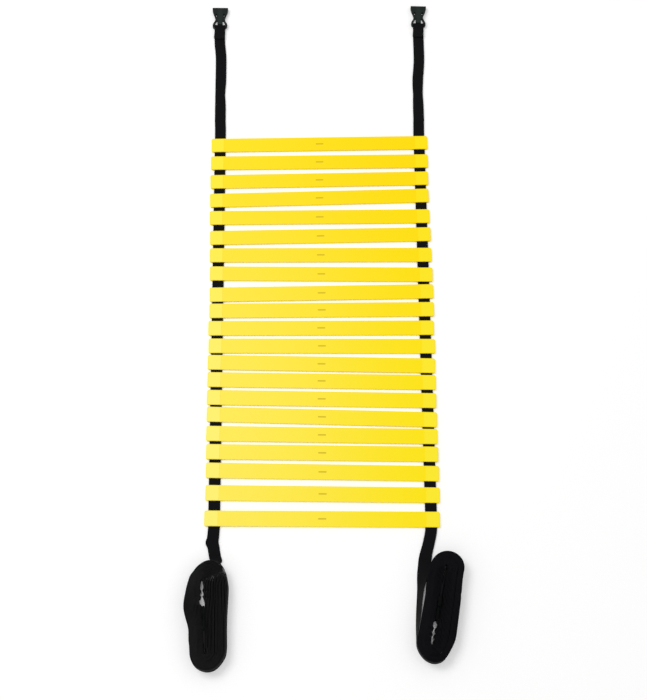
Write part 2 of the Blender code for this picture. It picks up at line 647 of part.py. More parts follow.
class Side:
    """One strap with its hank and buckles, on the left or the right of the ladder."""

    def __init__(self, name, sign, places):
        left = sign < 0
        self.name, self.sign, self.places = name, sign, places
        self.line = sign * SPREAD_HALF
        self.turns = LEFT_TURNS if left else RIGHT_TURNS
        self.core = LEFT_CORE if left else RIGHT_CORE
        self.gaps = (LEFT_GAP_NEAR, LEFT_GAP_FAR) if left else (RIGHT_GAP_NEAR, RIGHT_GAP_FAR)
        self.leans = (LEFT_LEAN_NEAR, LEFT_LEAN_FAR) if left else (RIGHT_LEAN_NEAR, RIGHT_LEAN_FAR)
        self.strip = LEFT_STRIP if left else RIGHT_STRIP
        self.tilt = math.radians(LEFT_TILT if left else RIGHT_TILT)
        self.belly = LEFT_BELLY if left else RIGHT_BELLY
        self.exit = math.radians(LEFT_EXIT if left else RIGHT_EXIT)
        self.flip = 1 if left else -1
        self.lead = LEFT_LEAD_SHARES if left else RIGHT_LEAD_SHARES
        slack = TAIL_SLACK_LEFT if left else TAIL_SLACK_RIGHT
        tail = RUNG_WIDTH / 2 + TOP_SLIDE + slack + TAIL_BEND + FOLD_LENGTH
        out = LOOP_OUT_LEFT if left else LOOP_OUT_RIGHT
        self.bar = Vector((self.line + sign * out, places[0] + tail, BAR_HEIGHT))
        self.loop_turn = math.radians(LOOP_YAW_LEFT if left else LOOP_YAW_RIGHT)
        self.yaw = Matrix.Rotation(self.loop_turn, 3, "Z")
        self.tail = LEFT_TAIL_SHARES if left else RIGHT_TAIL_SHARES
        side = LEFT_HANK_SIDE if left else RIGHT_HANK_SIDE
        drop = BOTTOM_SLIDE + (LEFT_TWIST if left else RIGHT_TWIST)
        self.route = hank_route(
            self.turns, self.core, self.strip, self.gaps, self.leans, self.belly, self.exit
        )
        upper_gap = self.gaps[1] if left else self.gaps[0]
        upper_radius = CORE_RADIUS + self.turns * (WEBBING_THICKNESS + upper_gap)
        top = places[-1] - RUNG_WIDTH / 2 - drop - upper_radius
        self.top_end = Vector((self.line + side, top, 0))
        turn = Matrix.Rotation(self.tilt, 3, "Z")
        reach = turn @ Vector((0, self.flip * self.core, 0))
        self.start = self.top_end - reach if left else self.top_end

    def place(self, x, y, z=0.0):
        """A point of the hank's own plan in the ladder's frame."""
        turn = Matrix.Rotation(self.tilt, 3, "Z")
        return self.start + turn @ Vector((x, self.flip * y, 0)) + Vector((0, 0, z))

    def hank_centres(self):
        """The wound centre line at its heights above the floor."""
        lift = MALE_HALF - HALF_WEB
        return [self.place(x, y, HALF_WEB + lift * up) for x, y, up in self.route]

    def lead_centres(self):
        """From the hank's last turn, twisting from on edge to flat, up to the last rung."""
        wound = self.hank_centres()
        along = (wound[-1] - wound[-2]).normalized()
        begin = wound[-1] + along * TOUCH_GAP
        foot = self.places[-1] - RUNG_WIDTH / 2
        shares = [(*row,) for row in self.lead] + [(1.0, 1.0, 1.0)]
        route = []
        for down, across, turned in smooth_route(shares, LEAD_STEPS):
            turned = min(max(turned, 0.0), 1.0)
            roll = turned * math.pi / 2
            x = self.line + (begin.x - self.line) * across
            y = foot + (begin.y - foot) * down
            z = max(WEB_HEIGHT, HALF_WEB * math.sin(roll) + HALF_SKIN * math.cos(roll))
            route.append((Vector((x, y, z)), roll))
        route.reverse()
        route[0] = (begin, math.pi / 2)
        return route

    def webbing(self):
        """The strap's centres and width directions, from the hank up to its folded end."""
        lead = self.lead_centres()
        centres, acrosses = [], []
        for i, (centre, roll) in enumerate(lead):
            ahead = lead[min(i + 1, len(lead) - 1)][0] - lead[max(i - 1, 0)][0]
            level = Vector((ahead.y, -ahead.x, 0)).normalized()
            centres.append(centre)
            # the outer edge rises as the strip turns on edge
            acrosses.append(level * math.cos(roll) + Vector((0, 0, self.sign * math.sin(roll))))
        head = self.places[0] + RUNG_WIDTH
        fold_end = self.bar + self.yaw @ Vector((0, -FOLD_LENGTH, 0))
        bend = fold_end.y - TAIL_BEND
        tail_x = self.line + self.sign * TAIL_OUT
        for x, y in ((self.line, head), (tail_x, head + RUNG_WIDTH), (tail_x, bend)):
            centres.append(Vector((x, y, WEB_HEIGHT)))
            acrosses.append(Vector((1, 0, 0)))
        across = self.yaw @ Vector((1, 0, 0))
        for share, shifted in smooth_route(self.tail, LEAD_STEPS)[1:-1]:
            x = tail_x + (fold_end.x - tail_x) * shifted
            centres.append(Vector((x, bend + (fold_end.y - bend) * share, WEB_HEIGHT)))
            acrosses.append(Vector((1, 0, 0)).lerp(across, share))
        for y, z in self.loop_profile():
            centres.append(self.bar + self.yaw @ Vector((0, y, 0)) + Vector((0, 0, z - BAR_HEIGHT)))
            acrosses.append(across)
        return centres, acrosses

    def loop_profile(self):
        """The loop's side view about the bar: under it, over it, back along the tail, and tucked under."""
        top_layer = WEB_HEIGHT + 2 * LAYER_PITCH
        under = BAR_HEIGHT - WRAP_RADIUS
        points = [
            (-FOLD_LENGTH, WEB_HEIGHT),
            (-4.5 * WRAP_RADIUS, WEB_HEIGHT),
            (-2 * WRAP_RADIUS, under + (WEB_HEIGHT - under) / 3),
        ]
        past_top = 120.0
        count = round((90.0 + past_top) / WRAP_STEP)
        for k in range(count + 1):
            angle = math.radians(-90.0 + k * WRAP_STEP)
            points.append((WRAP_RADIUS * math.cos(angle), BAR_HEIGHT + WRAP_RADIUS * math.sin(angle)))
        points.append((-1.6 * WRAP_RADIUS, top_layer + (BAR_HEIGHT + WRAP_RADIUS - top_layer) / 6))
        points.append((-3 * WRAP_RADIUS, top_layer))
        tuck = LAYER_PITCH / 2
        for k in range(5):
            angle = math.pi / 2 + math.pi * k / 4
            points.append(
                (-FOLD_LENGTH + tuck * math.cos(angle), top_layer - tuck + tuck * math.sin(angle))
            )
        points.append((-FOLD_LENGTH + FOLD_TUCK, top_layer - 2 * tuck))
        return points

    def build(self, web, plastic, female, male):
        """Make this side's pieces."""
        wound = self.hank_centres()
        steps = 2 * (TURN_STEPS_RUN + TURN_STEPS_END)
        upright = [Vector((0, 0, 1))] * len(wound)
        add_object(f"hank_{self.name}", ribbon_mesh("hank", wound, upright), web)
        outside = wound[-(self.turns * steps):]
        length = sum((b - a).length for a, b in zip(wound, wound[1:]))
        print(f"hank_{self.name} least gap {least_gap(outside, steps) * 1000:.3f} mm, length {length:.2f} m")
        centres, acrosses = self.webbing()
        length = sum((b - a).length for a, b in zip(centres, centres[1:]))
        print(f"strap_{self.name} length {length:.3f} m")
        add_object(f"strap_{self.name}", ribbon_mesh("strap", centres, acrosses), web)
        socket = add_object(f"female_buckle_{self.name}", female)
        socket.location = self.bar
        socket.rotation_euler = (0, 0, self.loop_turn)
        plug = add_object(f"male_buckle_{self.name}", male)
        core = (self.place(0, 1) - self.place(0, 0)).normalized()
        up = Vector((0, 0, 1))
        thick = up.cross(core)
        plug.matrix_world = Matrix.Translation(self.place(0, self.strip, MALE_HALF)) @ Matrix(
            (up, core, thick)
        ).transposed().to_4x4()


def main():
    """Build the whole ladder."""
    clear_scene()
    yellow = material("rung_yellow", (0.93, 0.72, 0.03), 0.42)
    web = material("webbing_black", (0.028, 0.028, 0.031), 0.85)
    plastic = material("buckle_plastic", (0.045, 0.052, 0.050), 0.38)
    places = build_rungs(yellow)
    female, male = female_mesh(), male_mesh()
    for mesh in (female, male):
        mesh.materials.clear()
        mesh.materials.append(plastic)
    for name, sign in (("left", -1), ("right", 1)):
        Side(name, sign, places).build(web, plastic, female, male)


main()
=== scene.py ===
"""Dressed agility ladder: satin moulded rungs on woven straps, wound hanks and side-release buckles.

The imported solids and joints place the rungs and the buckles, and the webbing is drawn again from the sizes
that its own solids were made from. All lengths are in metres, in the ladder's own frame: +X along the rungs,
+Y towards the open buckles, +Z up, and the floor at z = 0.
"""

import json
import logging
import math
import random
from dataclasses import dataclass, field
from enum import Enum
from typing import Sequence

import bmesh
import bpy
import numpy as np
from mathutils import Matrix, Vector

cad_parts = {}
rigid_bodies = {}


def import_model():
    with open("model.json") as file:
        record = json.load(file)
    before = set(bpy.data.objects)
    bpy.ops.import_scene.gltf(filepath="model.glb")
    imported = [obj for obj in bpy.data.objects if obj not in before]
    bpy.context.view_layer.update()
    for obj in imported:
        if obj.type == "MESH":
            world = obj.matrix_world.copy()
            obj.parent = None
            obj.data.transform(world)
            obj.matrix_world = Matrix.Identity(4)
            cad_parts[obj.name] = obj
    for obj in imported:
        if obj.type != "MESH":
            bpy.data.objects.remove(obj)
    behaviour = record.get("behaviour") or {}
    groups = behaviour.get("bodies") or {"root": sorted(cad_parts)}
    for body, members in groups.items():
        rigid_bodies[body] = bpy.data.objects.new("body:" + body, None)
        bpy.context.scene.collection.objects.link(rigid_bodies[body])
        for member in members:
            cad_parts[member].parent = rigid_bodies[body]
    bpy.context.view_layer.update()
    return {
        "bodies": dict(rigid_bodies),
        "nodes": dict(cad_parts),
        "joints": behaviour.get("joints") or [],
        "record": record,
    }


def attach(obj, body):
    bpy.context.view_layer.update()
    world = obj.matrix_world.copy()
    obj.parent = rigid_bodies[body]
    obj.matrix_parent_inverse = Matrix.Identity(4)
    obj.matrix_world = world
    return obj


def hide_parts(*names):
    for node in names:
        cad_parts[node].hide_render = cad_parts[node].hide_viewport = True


LOG = logging.getLogger("ladder")

Colour = tuple[float, float, float]
Table = tuple[tuple[float, float], ...]
Socket = bpy.types.NodeSocket
Value = float | Socket
Span = tuple[float, float]

PLASTIC_IOR = 1.5
SHEEN_ROUGHNESS = 0.5
WEBBING_HALF = 0.0125

# How a packed moulding is cleaned and its edges are told apart: a distance, and bends in degrees
MERGE = 2e-6
FLAT_BEND = 1.0
EASED_BENDS = (20.0, 62.0)
SQUARE_BENDS = (62.0, 180.0)

# Materials


class Nodes:
    """A short way to write the nodes of one tree."""

    def __init__(self, tree: bpy.types.NodeTree) -> None:
        """Start on a tree.

        Args:
            tree: The tree that the nodes are added to.
        """
        self.tree = tree

    def node(self, kind: str, **settings: object) -> bpy.types.Node:
        """Add a node.

        Args:
            kind: The node's type, without its common prefix.
            settings: Properties to set on it.

        Returns:
            The node.
        """
        made = self.tree.nodes.new("ShaderNode" + kind)
        for key, value in settings.items():
            setattr(made, key, value)
        return made

    def put(self, socket: Socket, value: object) -> None:
        """Link a socket to another one, or set its value.

        Args:
            socket: The input that gets it.
            value: Another socket, a colour or a number.
        """
        if isinstance(value, bpy.types.NodeSocket):
            self.tree.links.new(value, socket)
        elif isinstance(value, tuple) and len(value) == 3 and socket.type == "RGBA":
            socket.default_value = (*value, 1.0)
        else:
            socket.default_value = value

    def maths(self, operation: str, *values: Value) -> Socket:
        """One sum on numbers.

        Args:
            operation: The sum's name in Blender.
            values: Its inputs, in order.

        Returns:
            The answer's socket.
        """
        made = self.node("Math", operation=operation)
        for socket, value in zip(made.inputs, values):
            self.put(socket, value)
        return made.outputs[0]

    def times(self, first: Value, second: Value) -> Socket:
        """Two numbers multiplied."""
        return self.maths("MULTIPLY", first, second)

    def plus(self, first: Value, second: Value) -> Socket:
        """Two numbers added."""
        return self.maths("ADD", first, second)

    def minus(self, first: Value, second: Value) -> Socket:
        """The second number taken from the first."""
        return self.maths("SUBTRACT", first, second)

    def size(self, value: Value) -> Socket:
        """A number without its sign."""
        return self.maths("ABSOLUTE", value)

    def step(self, value: Value, low: float, high: float, start: float = 0.0, end: float = 1.0) -> Socket:
        """A smooth step as value goes from low to high.

        Args:
            value: What is looked at.
            low: Where the step begins.
            high: Where it ends.
            start: The answer at low.
            end: The answer at high.

        Returns:
            The answer's socket.
        """
        made = self.node("MapRange", interpolation_type="SMOOTHSTEP")
        for socket, entry in zip(made.inputs[:5], (value, low, high, start, end)):
            self.put(socket, entry)
        return made.outputs[0]

    def mix(self, share: Value, first: Colour | Socket, second: Colour | Socket,
            how: str = "MIX") -> Socket:
        """Blend two colours.

        Args:
            share: How much of the second.
            first: The colour at 0.
            second: The colour at 1.
            how: The blend's name in Blender.

        Returns:
            The mixed colour's socket.
        """
        made = self.node("Mix", data_type="RGBA", blend_type=how, clamp_factor=True)
        self.put(made.inputs[0], share)
        self.put(made.inputs[6], first)
        self.put(made.inputs[7], second)
        return made.outputs[2]

    def noise(self, place: Socket, scale: Value, detail: float = 2.0, roughness: float = 0.5) -> Socket:
        """Soft noise between 0 and 1.

        Args:
            place: The coordinates it reads.
            scale: Its waves to a metre.
            detail: Its octaves.
            roughness: How strong the finer ones are.

        Returns:
            The noise's socket.
        """
        made = self.node("TexNoise")
        for title, value in (("Vector", place), ("Scale", scale), ("Detail", detail),
                             ("Roughness", roughness)):
            self.put(made.inputs[title], value)
        return made.outputs[0]

    def split(self, vector: Socket) -> tuple[Socket, Socket]:
        """The first two parts of a vector.

        Args:
            vector: The vector's socket.

        Returns:
            The sockets of both parts.
        """
        made = self.node("SeparateXYZ")
        self.put(made.inputs[0], vector)
        return made.outputs[0], made.outputs[1]

    def seen(self) -> Socket:
        """1 where the camera looks, straight, in a gloss or through glass, and 0 for other light."""
        path = self.node("LightPath").outputs
        indirect = self.maths("MAXIMUM", path["Is Glossy Ray"], path["Is Transmission Ray"])
        return self.maths("MAXIMUM", path["Is Camera Ray"], indirect)


class Effect(Nodes):
    """One effect that several finishes share: a shader node group with named inputs and outputs."""

    def __init__(self, name: str, given: dict[str, str], answers: Sequence[str]) -> None:
        """Start a group.

        Args:
            name: The effect's name.
            given: The kind of each input, by its name.
            answers: The names of the outputs, which are all numbers.
        """
        super().__init__(bpy.data.node_groups.new(name, "ShaderNodeTree"))
        for title, kind in given.items():
            self.tree.interface.new_socket(title, in_out="INPUT", socket_type="NodeSocket" + kind)
        for title in answers:
            self.tree.interface.new_socket(title, in_out="OUTPUT", socket_type="NodeSocketFloat")
        self.given = self.tree.nodes.new("NodeGroupInput").outputs
        self.answers = self.tree.nodes.new("NodeGroupOutput").inputs


class Graph(Nodes):
    """The nodes of one Principled material."""

    def __init__(self, name: str) -> None:
        """Start a material.

        Args:
            name: The finish's name.
        """
        self.material = bpy.data.materials.new(name)
        self.material.use_nodes = True
        super().__init__(self.material.node_tree)
        self.shader = self.tree.nodes["Principled BSDF"]

    def effect(self, effect: Effect, **values: Value) -> bpy.types.NodeOutputs:
        """Place a shared effect in this material with the material's own values.

        Args:
            effect: The effect.
            values: What its inputs get, by their names.

        Returns:
            Its outputs.
        """
        made = self.node("Group", node_tree=effect.tree)
        for title, value in values.items():
            self.put(made.inputs[title], value)
        return made.outputs

    def object_place(self) -> Socket:
        """The object's own coordinates."""
        return self.node("TexCoord").outputs["Object"]

    def map_place(self, name: str) -> tuple[Socket, Socket, Socket]:
        """A UV map's place: its vector, and both parts of it.

        Args:
            name: The map's name.

        Returns:
            The vector, u and v.
        """
        place = self.node("UVMap", uv_map=name).outputs[0]
        return place, *self.split(place)

    def bump(self, height: Socket, strength: float, distance: float) -> None:
        """Raise the surface by a height between 0 and 1.

        Args:
            height: The height's socket.
            strength: How much of it shows.
            distance: What a height of 1 stands for.
        """
        made = self.node("Bump")
        made.inputs["Strength"].default_value = strength
        made.inputs["Distance"].default_value = distance
        self.put(made.inputs["Height"], height)
        self.put(self.shader.inputs["Normal"], made.outputs[0])

    def gloss(self, specular: float, sheen: float = 0.0) -> None:
        """Set the constants of the shine on the shader's own sockets.

        Args:
            specular: The specular level.
            sheen: The weight of the fuzz's sheen.
        """
        self.shader.inputs["Specular IOR Level"].default_value = specular
        self.shader.inputs["IOR"].default_value = PLASTIC_IOR
        if sheen:
            self.shader.inputs["Sheen Weight"].default_value = sheen
            self.shader.inputs["Sheen Roughness"].default_value = SHEEN_ROUGHNESS


@dataclass(frozen=True)
class HerringboneWeave:
    """The webbing's weave: slanted picks in narrow columns that lean by turns, with a firm selvedge."""

    column: float = 0.00192
    pitch: float = 0.00155
    slant: float = 0.85
    pick_power: float = 0.6
    column_power: float = 3.0
    rib_power: float = 0.5
    selvedge: float = 0.0010
    selvedge_blend: float = 0.0002
    fibres: float = 5200.0
    fibre_detail: float = 3.0
    fibre_roughness: float = 0.6

    @staticmethod
    def ridges(g: Effect, phase: Socket, power: float) -> Socket:
        """Rounded ridges, one to each whole step of a phase.

        Args:
            g: The effect that they are part of.
            phase: The phase's socket.
            power: The power of their section: the lower it is, the fuller they are.

        Returns:
            Their height, between 0 and 1.
        """
        return g.maths("POWER", g.size(g.maths("SINE", g.times(phase, math.pi))), power)

    def make(self) -> Effect:
        """The weave, from a place in metres across and along the webbing.

        Returns:
            The shared effect.
        """
        g = Effect("herringbone_weave", {"Place": "Vector", "Across": "Float", "Along": "Float"},
                   ("Weave", "Ribs", "Fibre"))
        across, along = g.given["Across"], g.given["Along"]
        columns = g.maths("DIVIDE", across, self.column)
        inside = g.maths("FRACT", columns)
        parity = g.times(g.maths("FRACT", g.times(g.maths("FLOOR", columns), 0.5)), 2.0)
        lean = g.times(g.minus(parity, 0.5), g.times(inside, 2 * self.slant))
        pick = self.ridges(g, g.plus(g.maths("DIVIDE", along, self.pitch), lean), self.pick_power)
        off = g.size(g.minus(g.times(inside, 2.0), 1.0))
        body = g.times(pick, g.minus(1.0, g.maths("POWER", off, self.column_power)))
        ribs = self.ridges(g, g.maths("DIVIDE", along, self.pitch / 2), self.rib_power)
        margin = WEBBING_HALF - self.selvedge
        at_edge = g.step(g.size(across), margin - self.selvedge_blend, margin)
        weave = g.plus(g.times(body, g.minus(1.0, at_edge)), g.times(ribs, at_edge))
        g.put(g.answers["Weave"], weave)
        g.put(g.answers["Ribs"], ribs)
        fibre = g.noise(g.given["Place"], self.fibres, self.fibre_detail, self.fibre_roughness)
        g.put(g.answers["Fibre"], fibre)
        return g


@dataclass(frozen=True)
class FineGrain:
    """The fine grain of a moulded or spun surface, and slow clouds over it."""

    grain_detail: float = 2.0
    cloud_detail: float = 3.0

    def make(self) -> Effect:
        """The grain, from a place and the waves to a metre of the grain and the clouds.

        Returns:
            The shared effect.
        """
        g = Effect("fine_grain", {"Place": "Vector", "Fineness": "Float", "Clouds": "Float"},
                   ("Grain", "Cloud"))
        g.put(g.answers["Grain"], g.noise(g.given["Place"], g.given["Fineness"], self.grain_detail))
        g.put(g.answers["Cloud"], g.noise(g.given["Place"], g.given["Clouds"], self.cloud_detail))
        return g


@dataclass(frozen=True)
class WebbingFinish:
    """Black woven webbing whose selvedges show wear."""

    name: str = "woven_webbing"
    valley: Colour = (0.0010, 0.0010, 0.0013)
    ridge: Colour = (0.0068, 0.0070, 0.0078)
    ridge_share: float = 0.85
    rubbed: Colour = (0.0030, 0.0029, 0.0042)
    rubbed_share: float = 0.45
    rubbed_waves: float = 34.0
    edge: Colour = (0.0160, 0.0160, 0.0165)
    edge_outer: float = 0.0003
    edge_inner: float = 0.0009
    edge_rib: float = 0.6
    edge_base: float = 0.35
    fibre_height: float = 0.22
    roughness: Span = (0.62, 0.80)
    specular: float = 0.055
    sheen: float = 0.008
    relief: float = 0.00026
    relief_strength: float = 0.55

    def make(self, weave: Effect) -> bpy.types.Material:
        """The finish as a material that reads the Webbing map, in metres across and along.

        Args:
            weave: The shared weave.

        Returns:
            The material.
        """
        g = Graph(self.name)
        place, across, along = g.map_place("Webbing")
        woven = g.effect(weave, Place=place, Across=across, Along=along)
        height = g.plus(woven["Weave"], g.times(woven["Fibre"], self.fibre_height))
        cloud = g.noise(place, self.rubbed_waves, 3.0, 0.55)
        tone = g.mix(g.times(woven["Weave"], self.ridge_share), self.valley, self.ridge)
        tone = g.mix(g.step(cloud, 0.3, 0.75, 0.0, self.rubbed_share), tone, self.rubbed)
        margin = g.step(g.size(across), WEBBING_HALF - self.edge_inner, WEBBING_HALF - self.edge_outer)
        wear_and_highlight = g.times(margin, g.plus(g.times(woven["Ribs"], self.edge_rib), self.edge_base))
        g.put(g.shader.inputs["Base Color"], g.mix(wear_and_highlight, tone, self.edge))
        g.put(g.shader.inputs["Roughness"], g.step(woven["Fibre"], 0.2, 0.8, *self.roughness))
        g.gloss(self.specular, self.sheen)
        g.bump(height, self.relief_strength, self.relief)
        return g.material


@dataclass(frozen=True)
class RungPlastic:
    """Yellow moulded rungs: satin, with paler end housings and one plain pill-shaped mark.

    The yellow is paler low down and deeper to the right, as the light falls in the photograph.
    """

    upper: Colour = (0.990, 0.755, 0.0170)
    lower: Colour = (0.990, 0.825, 0.1000)
    upper_pad: Colour = (0.985, 0.820, 0.0400)
    lower_pad: Colour = (0.985, 0.875, 0.1700)
    top_y: float = 0.47
    low_y: float = -0.26
    shaded: Colour = (1.000, 0.950, 0.070)
    pad_shaded: Colour = (1.000, 0.940, 0.160)
    left_x: float = -0.26
    right_x: float = 0.25
    pad_start: float = 0.2192
    pad_blend: float = 0.0003
    half_length: float = 0.2475
    half_width: float = 0.01675
    inset: float = 0.0012
    inset_blend: float = 0.0006
    mark: Colour = (0.560, 0.400, 0.020)
    mark_share: float = 0.75
    mark_half: float = 0.0088
    mark_radius: float = 0.0016
    mark_blend: float = 0.0002
    cloudy: Colour = (0.930, 0.700, 0.010)
    cloudy_share: float = 0.05
    cloudy_waves: float = 9.0
    fineness: float = 2600.0
    clouds: float = 60.0
    roughness: Span = (0.36, 0.46)
    specular: float = 0.08
    grain_height: float = 0.10
    relief: float = 0.00018
    relief_strength: float = 0.5

    def pad(self, g: Graph, far: Socket, off: Socket) -> Socket:
        """Where the end housings' flat tops are.

        Args:
            g: The material's nodes.
            far: The distance from the rung's middle along it.
            off: The distance from its middle line.

        Returns:
            1 on them and 0 elsewhere.
        """
        side = self.half_width - self.inset
        tip = self.half_length - self.inset
        inner = g.step(far, self.pad_start - self.pad_blend, self.pad_start + self.pad_blend)
        across = g.step(off, side, side - self.inset_blend)
        return g.times(g.times(inner, across), g.step(far, tip, tip - self.inset_blend))

    def pill(self, g: Graph, far: Socket, across: Socket) -> Socket:
        """Where the pill-shaped mark is.

        Args:
            g: The material's nodes.
            far: The distance from the rung's middle along it.
            across: The place across it.

        Returns:
            1 in the mark and 0 elsewhere.
        """
        past = g.maths("MAXIMUM", g.minus(far, self.mark_half - self.mark_radius), 0.0)
        reach = g.maths("SQRT", g.plus(g.times(past, past), g.times(across, across)))
        return g.step(reach, self.mark_radius + self.mark_blend, self.mark_radius - self.mark_blend)

    def make(self, grain: Effect) -> bpy.types.Material:
        """The finish as a material that reads the Rung map, in metres along and across the rung.

        Args:
            grain: The shared grain.

        Returns:
            The material.
        """
        g = Graph("rung_plastic")
        _, along, across = g.map_place("Rung")
        spot = g.object_place()
        spot_x, spot_y = g.split(spot)
        # Painted light and shade: panels and end housings are painted paler towards the ladder's foot, and
        # deeper yellow, a painted shade, towards its right.
        down = g.step(spot_y, self.top_y, self.low_y)
        right = g.step(spot_x, self.left_x, self.right_x)
        far = g.size(along)
        panel = g.mix(right, g.mix(down, self.upper, self.lower), self.shaded, "MULTIPLY")
        housing = g.mix(right, g.mix(down, self.upper_pad, self.lower_pad), self.pad_shaded, "MULTIPLY")
        tone = g.mix(self.pad(g, far, g.size(across)), panel, housing)
        mark = self.pill(g, far, across)
        tone = g.mix(g.times(mark, self.mark_share), tone, self.mark)
        cloud = g.step(g.noise(spot, self.cloudy_waves), 0.35, 0.7, 0.0, self.cloudy_share)
        g.put(g.shader.inputs["Base Color"], g.mix(cloud, tone, self.cloudy))
        fine = g.effect(grain, Place=spot, Fineness=self.fineness, Clouds=self.clouds)
        g.put(g.shader.inputs["Roughness"], g.step(fine["Cloud"], 0.3, 0.7, *self.roughness))
        g.gloss(self.specular)
        g.bump(g.minus(g.times(fine["Grain"], self.grain_height), mark), self.relief_strength, self.relief)
        return g.material


@dataclass(frozen=True)
class BucklePlastic:
    """Charcoal moulded buckles with a fine spark-eroded texture, and a middle band painted paler: partly
    rubbed wear, partly a painted highlight where a raised spine would catch the light.
    """

    name: str = "buckle_plastic"
    base: Colour = (0.0040, 0.0094, 0.0072)
    wear_and_highlight: Colour = (0.0115, 0.0200, 0.0165)
    highlight_share: float = 0.75
    spine: float = 0.0045
    spine_blend: float = 0.0035
    fineness: float = 3800.0
    clouds: float = 120.0
    roughness: Span = (0.34, 0.46)
    specular: float = 0.14
    relief: float = 0.00004
    relief_strength: float = 0.35

    def make(self, grain: Effect) -> bpy.types.Material:
        """The finish as a material that reads the Buckle map, in metres from the middle of the bar.

        Args:
            grain: The shared grain.

        Returns:
            The material.
        """
        g = Graph(self.name)
        fine = g.effect(grain, Place=g.object_place(), Fineness=self.fineness, Clouds=self.clouds)
        _, across, _ = g.map_place("Buckle")
        # Painted highlight with some rubbed wear: a paler band down the buckle's middle stands in for the
        # light on a raised spine.
        spine = g.step(g.size(across), self.spine + self.spine_blend, self.spine - self.spine_blend,
                       0.0, self.highlight_share)
        rubbed = g.times(spine, g.step(fine["Cloud"], 0.3, 0.7, 0.6, 1.0))
        g.put(g.shader.inputs["Base Color"], g.mix(rubbed, self.base, self.wear_and_highlight))
        g.put(g.shader.inputs["Roughness"], g.step(fine["Grain"], 0.25, 0.75, *self.roughness))
        g.gloss(self.specular)
        g.bump(fine["Grain"], self.relief_strength, self.relief)
        return g.material


@dataclass(frozen=True)
class ThreadFinish:
    """Bonded black sewing thread."""

    dark: Colour = (0.003, 0.003, 0.0035)
    light: Colour = (0.010, 0.010, 0.011)
    fineness: float = 2400.0
    roughness: Span = (0.42, 0.60)
    specular: float = 0.12
    relief: float = 0.00006
    relief_strength: float = 0.5

    def make(self, grain: Effect) -> bpy.types.Material:
        """The finish as a material on the object's own coordinates.

        Args:
            grain: The shared grain.

        Returns:
            The material.
        """
        g = Graph("sewing_thread")
        twist = g.effect(grain, Place=g.object_place(), Fineness=self.fineness)["Grain"]
        g.put(g.shader.inputs["Base Color"], g.mix(twist, self.dark, self.light))
        g.put(g.shader.inputs["Roughness"], g.step(twist, 0.3, 0.7, *self.roughness))
        g.gloss(self.specular)
        g.bump(twist, self.relief_strength, self.relief)
        return g.material


# Shared shapes


def ease(share: float) -> float:
    """A smooth step from 0 to 1."""
    share = min(max(share, 0.0), 1.0)
    return share * share * (3 - 2 * share)


def hump(value: float, middle: float, reach: float) -> float:
    """A smooth hump of height 1 about a middle.

    Args:
        value: Where it is read.
        middle: Where it is highest.
        reach: The distance at which it has dropped to about a third.

    Returns:
        The height there.
    """
    return math.exp(-(((value - middle) / reach) ** 2))


def smooth_route(points: Sequence[Sequence[float]], steps: int) -> list[np.ndarray]:
    """A Catmull-Rom curve through points of any dimension.

    Args:
        points: What it passes through.
        steps: The pieces in each span.

    Returns:
        The curve's points.
    """
    rows = [np.array(p, dtype=float) for p in points]
    padded = [2 * rows[0] - rows[1], *rows, 2 * rows[-1] - rows[-2]]
    out = []
    for i in range(len(rows) - 1):
        a, b, c, d = padded[i:i + 4]
        for k in range(steps):
            s = k / steps
            out.append((2 * b + (c - a) * s + (2 * a - 5 * b + 4 * c - d) * s ** 2
                        + (3 * b - a - 3 * c + d) * s ** 3) / 2)
    out.append(rows[-1])
    return out


def profile(table: Table, value: float) -> float:
    """A smooth line through a table of places and heights.

    Args:
        table: The places, in order, and the height at each.
        value: Where it is read.

    Returns:
        The height there.
    """
    for (a, low), (b, high) in zip(table, table[1:]):
        if value <= b:
            return low + (high - low) * ease((value - a) / (b - a))
    return table[-1][1]


def stand(name: str, data: bpy.types.ID) -> bpy.types.Object:
    """Put an object in the scene.

    Args:
        name: Its name.
        data: Its mesh, lamp or camera.

    Returns:
        The object.
    """
    item = bpy.data.objects.new(name, data)
    bpy.context.scene.collection.objects.link(item)
    return item


def finish_piece(name: str, bm: bmesh.types.BMesh, finish: bpy.types.Material, body: str) -> bpy.types.Object:
    """Turn a bmesh into a named piece that rides on a body.

    Args:
        name: The piece's name.
        bm: Its shape, in the ladder's frame.
        finish: Its material.
        body: The body that it moves with.

    Returns:
        The piece.
    """
    mesh = bpy.data.meshes.new(name)
    bm.to_mesh(mesh)
    bm.free()
    mesh.materials.append(finish)
    item = stand(name, mesh)
    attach(item, body)
    LOG.info("%s: %d faces on %s", name, len(mesh.polygons), body)
    return item


def moulded_copy(node: bpy.types.Object, wide: float, fine: float) -> bmesh.types.BMesh:
    """A copy of a packed moulding with its edges rounded as a mould leaves them.

    Args:
        node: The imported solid.
        wide: The round on its eased edges.
        fine: The round on its square edges.

    Returns:
        The rounded copy, still open to changes.
    """
    bm = bmesh.new()
    bm.from_mesh(node.data)
    bmesh.ops.remove_doubles(bm, verts=bm.verts, dist=MERGE)
    bmesh.ops.dissolve_limit(bm, angle_limit=math.radians(FLAT_BEND), verts=bm.verts, edges=bm.edges)
    for face in bm.faces:
        face.smooth = False
    for offset, (low, high) in ((wide, EASED_BENDS), (fine, SQUARE_BENDS)):
        edges = [e for e in bm.edges if len(e.link_faces) == 2 and not any(f.smooth for f in e.link_faces)
                 and low < math.degrees(e.calc_face_angle(0.0)) <= high]
        made = bmesh.ops.bevel(bm, geom=edges, offset=offset, segments=2, profile=0.5, affect="EDGES",
                               offset_type="OFFSET", clamp_overlap=True, material=-1)
        for face in made["faces"]:
            face.smooth = True
    return bm


def lay_map(bm: bmesh.types.BMesh, name: str, home: Matrix) -> None:
    """Give a moulding a UV map in metres, seen from above.

    Args:
        bm: The moulding.
        name: The map's name.
        home: What takes the moulding to the map's own frame.
    """
    layer = bm.loops.layers.uv.new(name)
    for face in bm.faces:
        for loop in face.loops:
            loop[layer].uv = (home @ loop.vert.co).xy


# Rungs


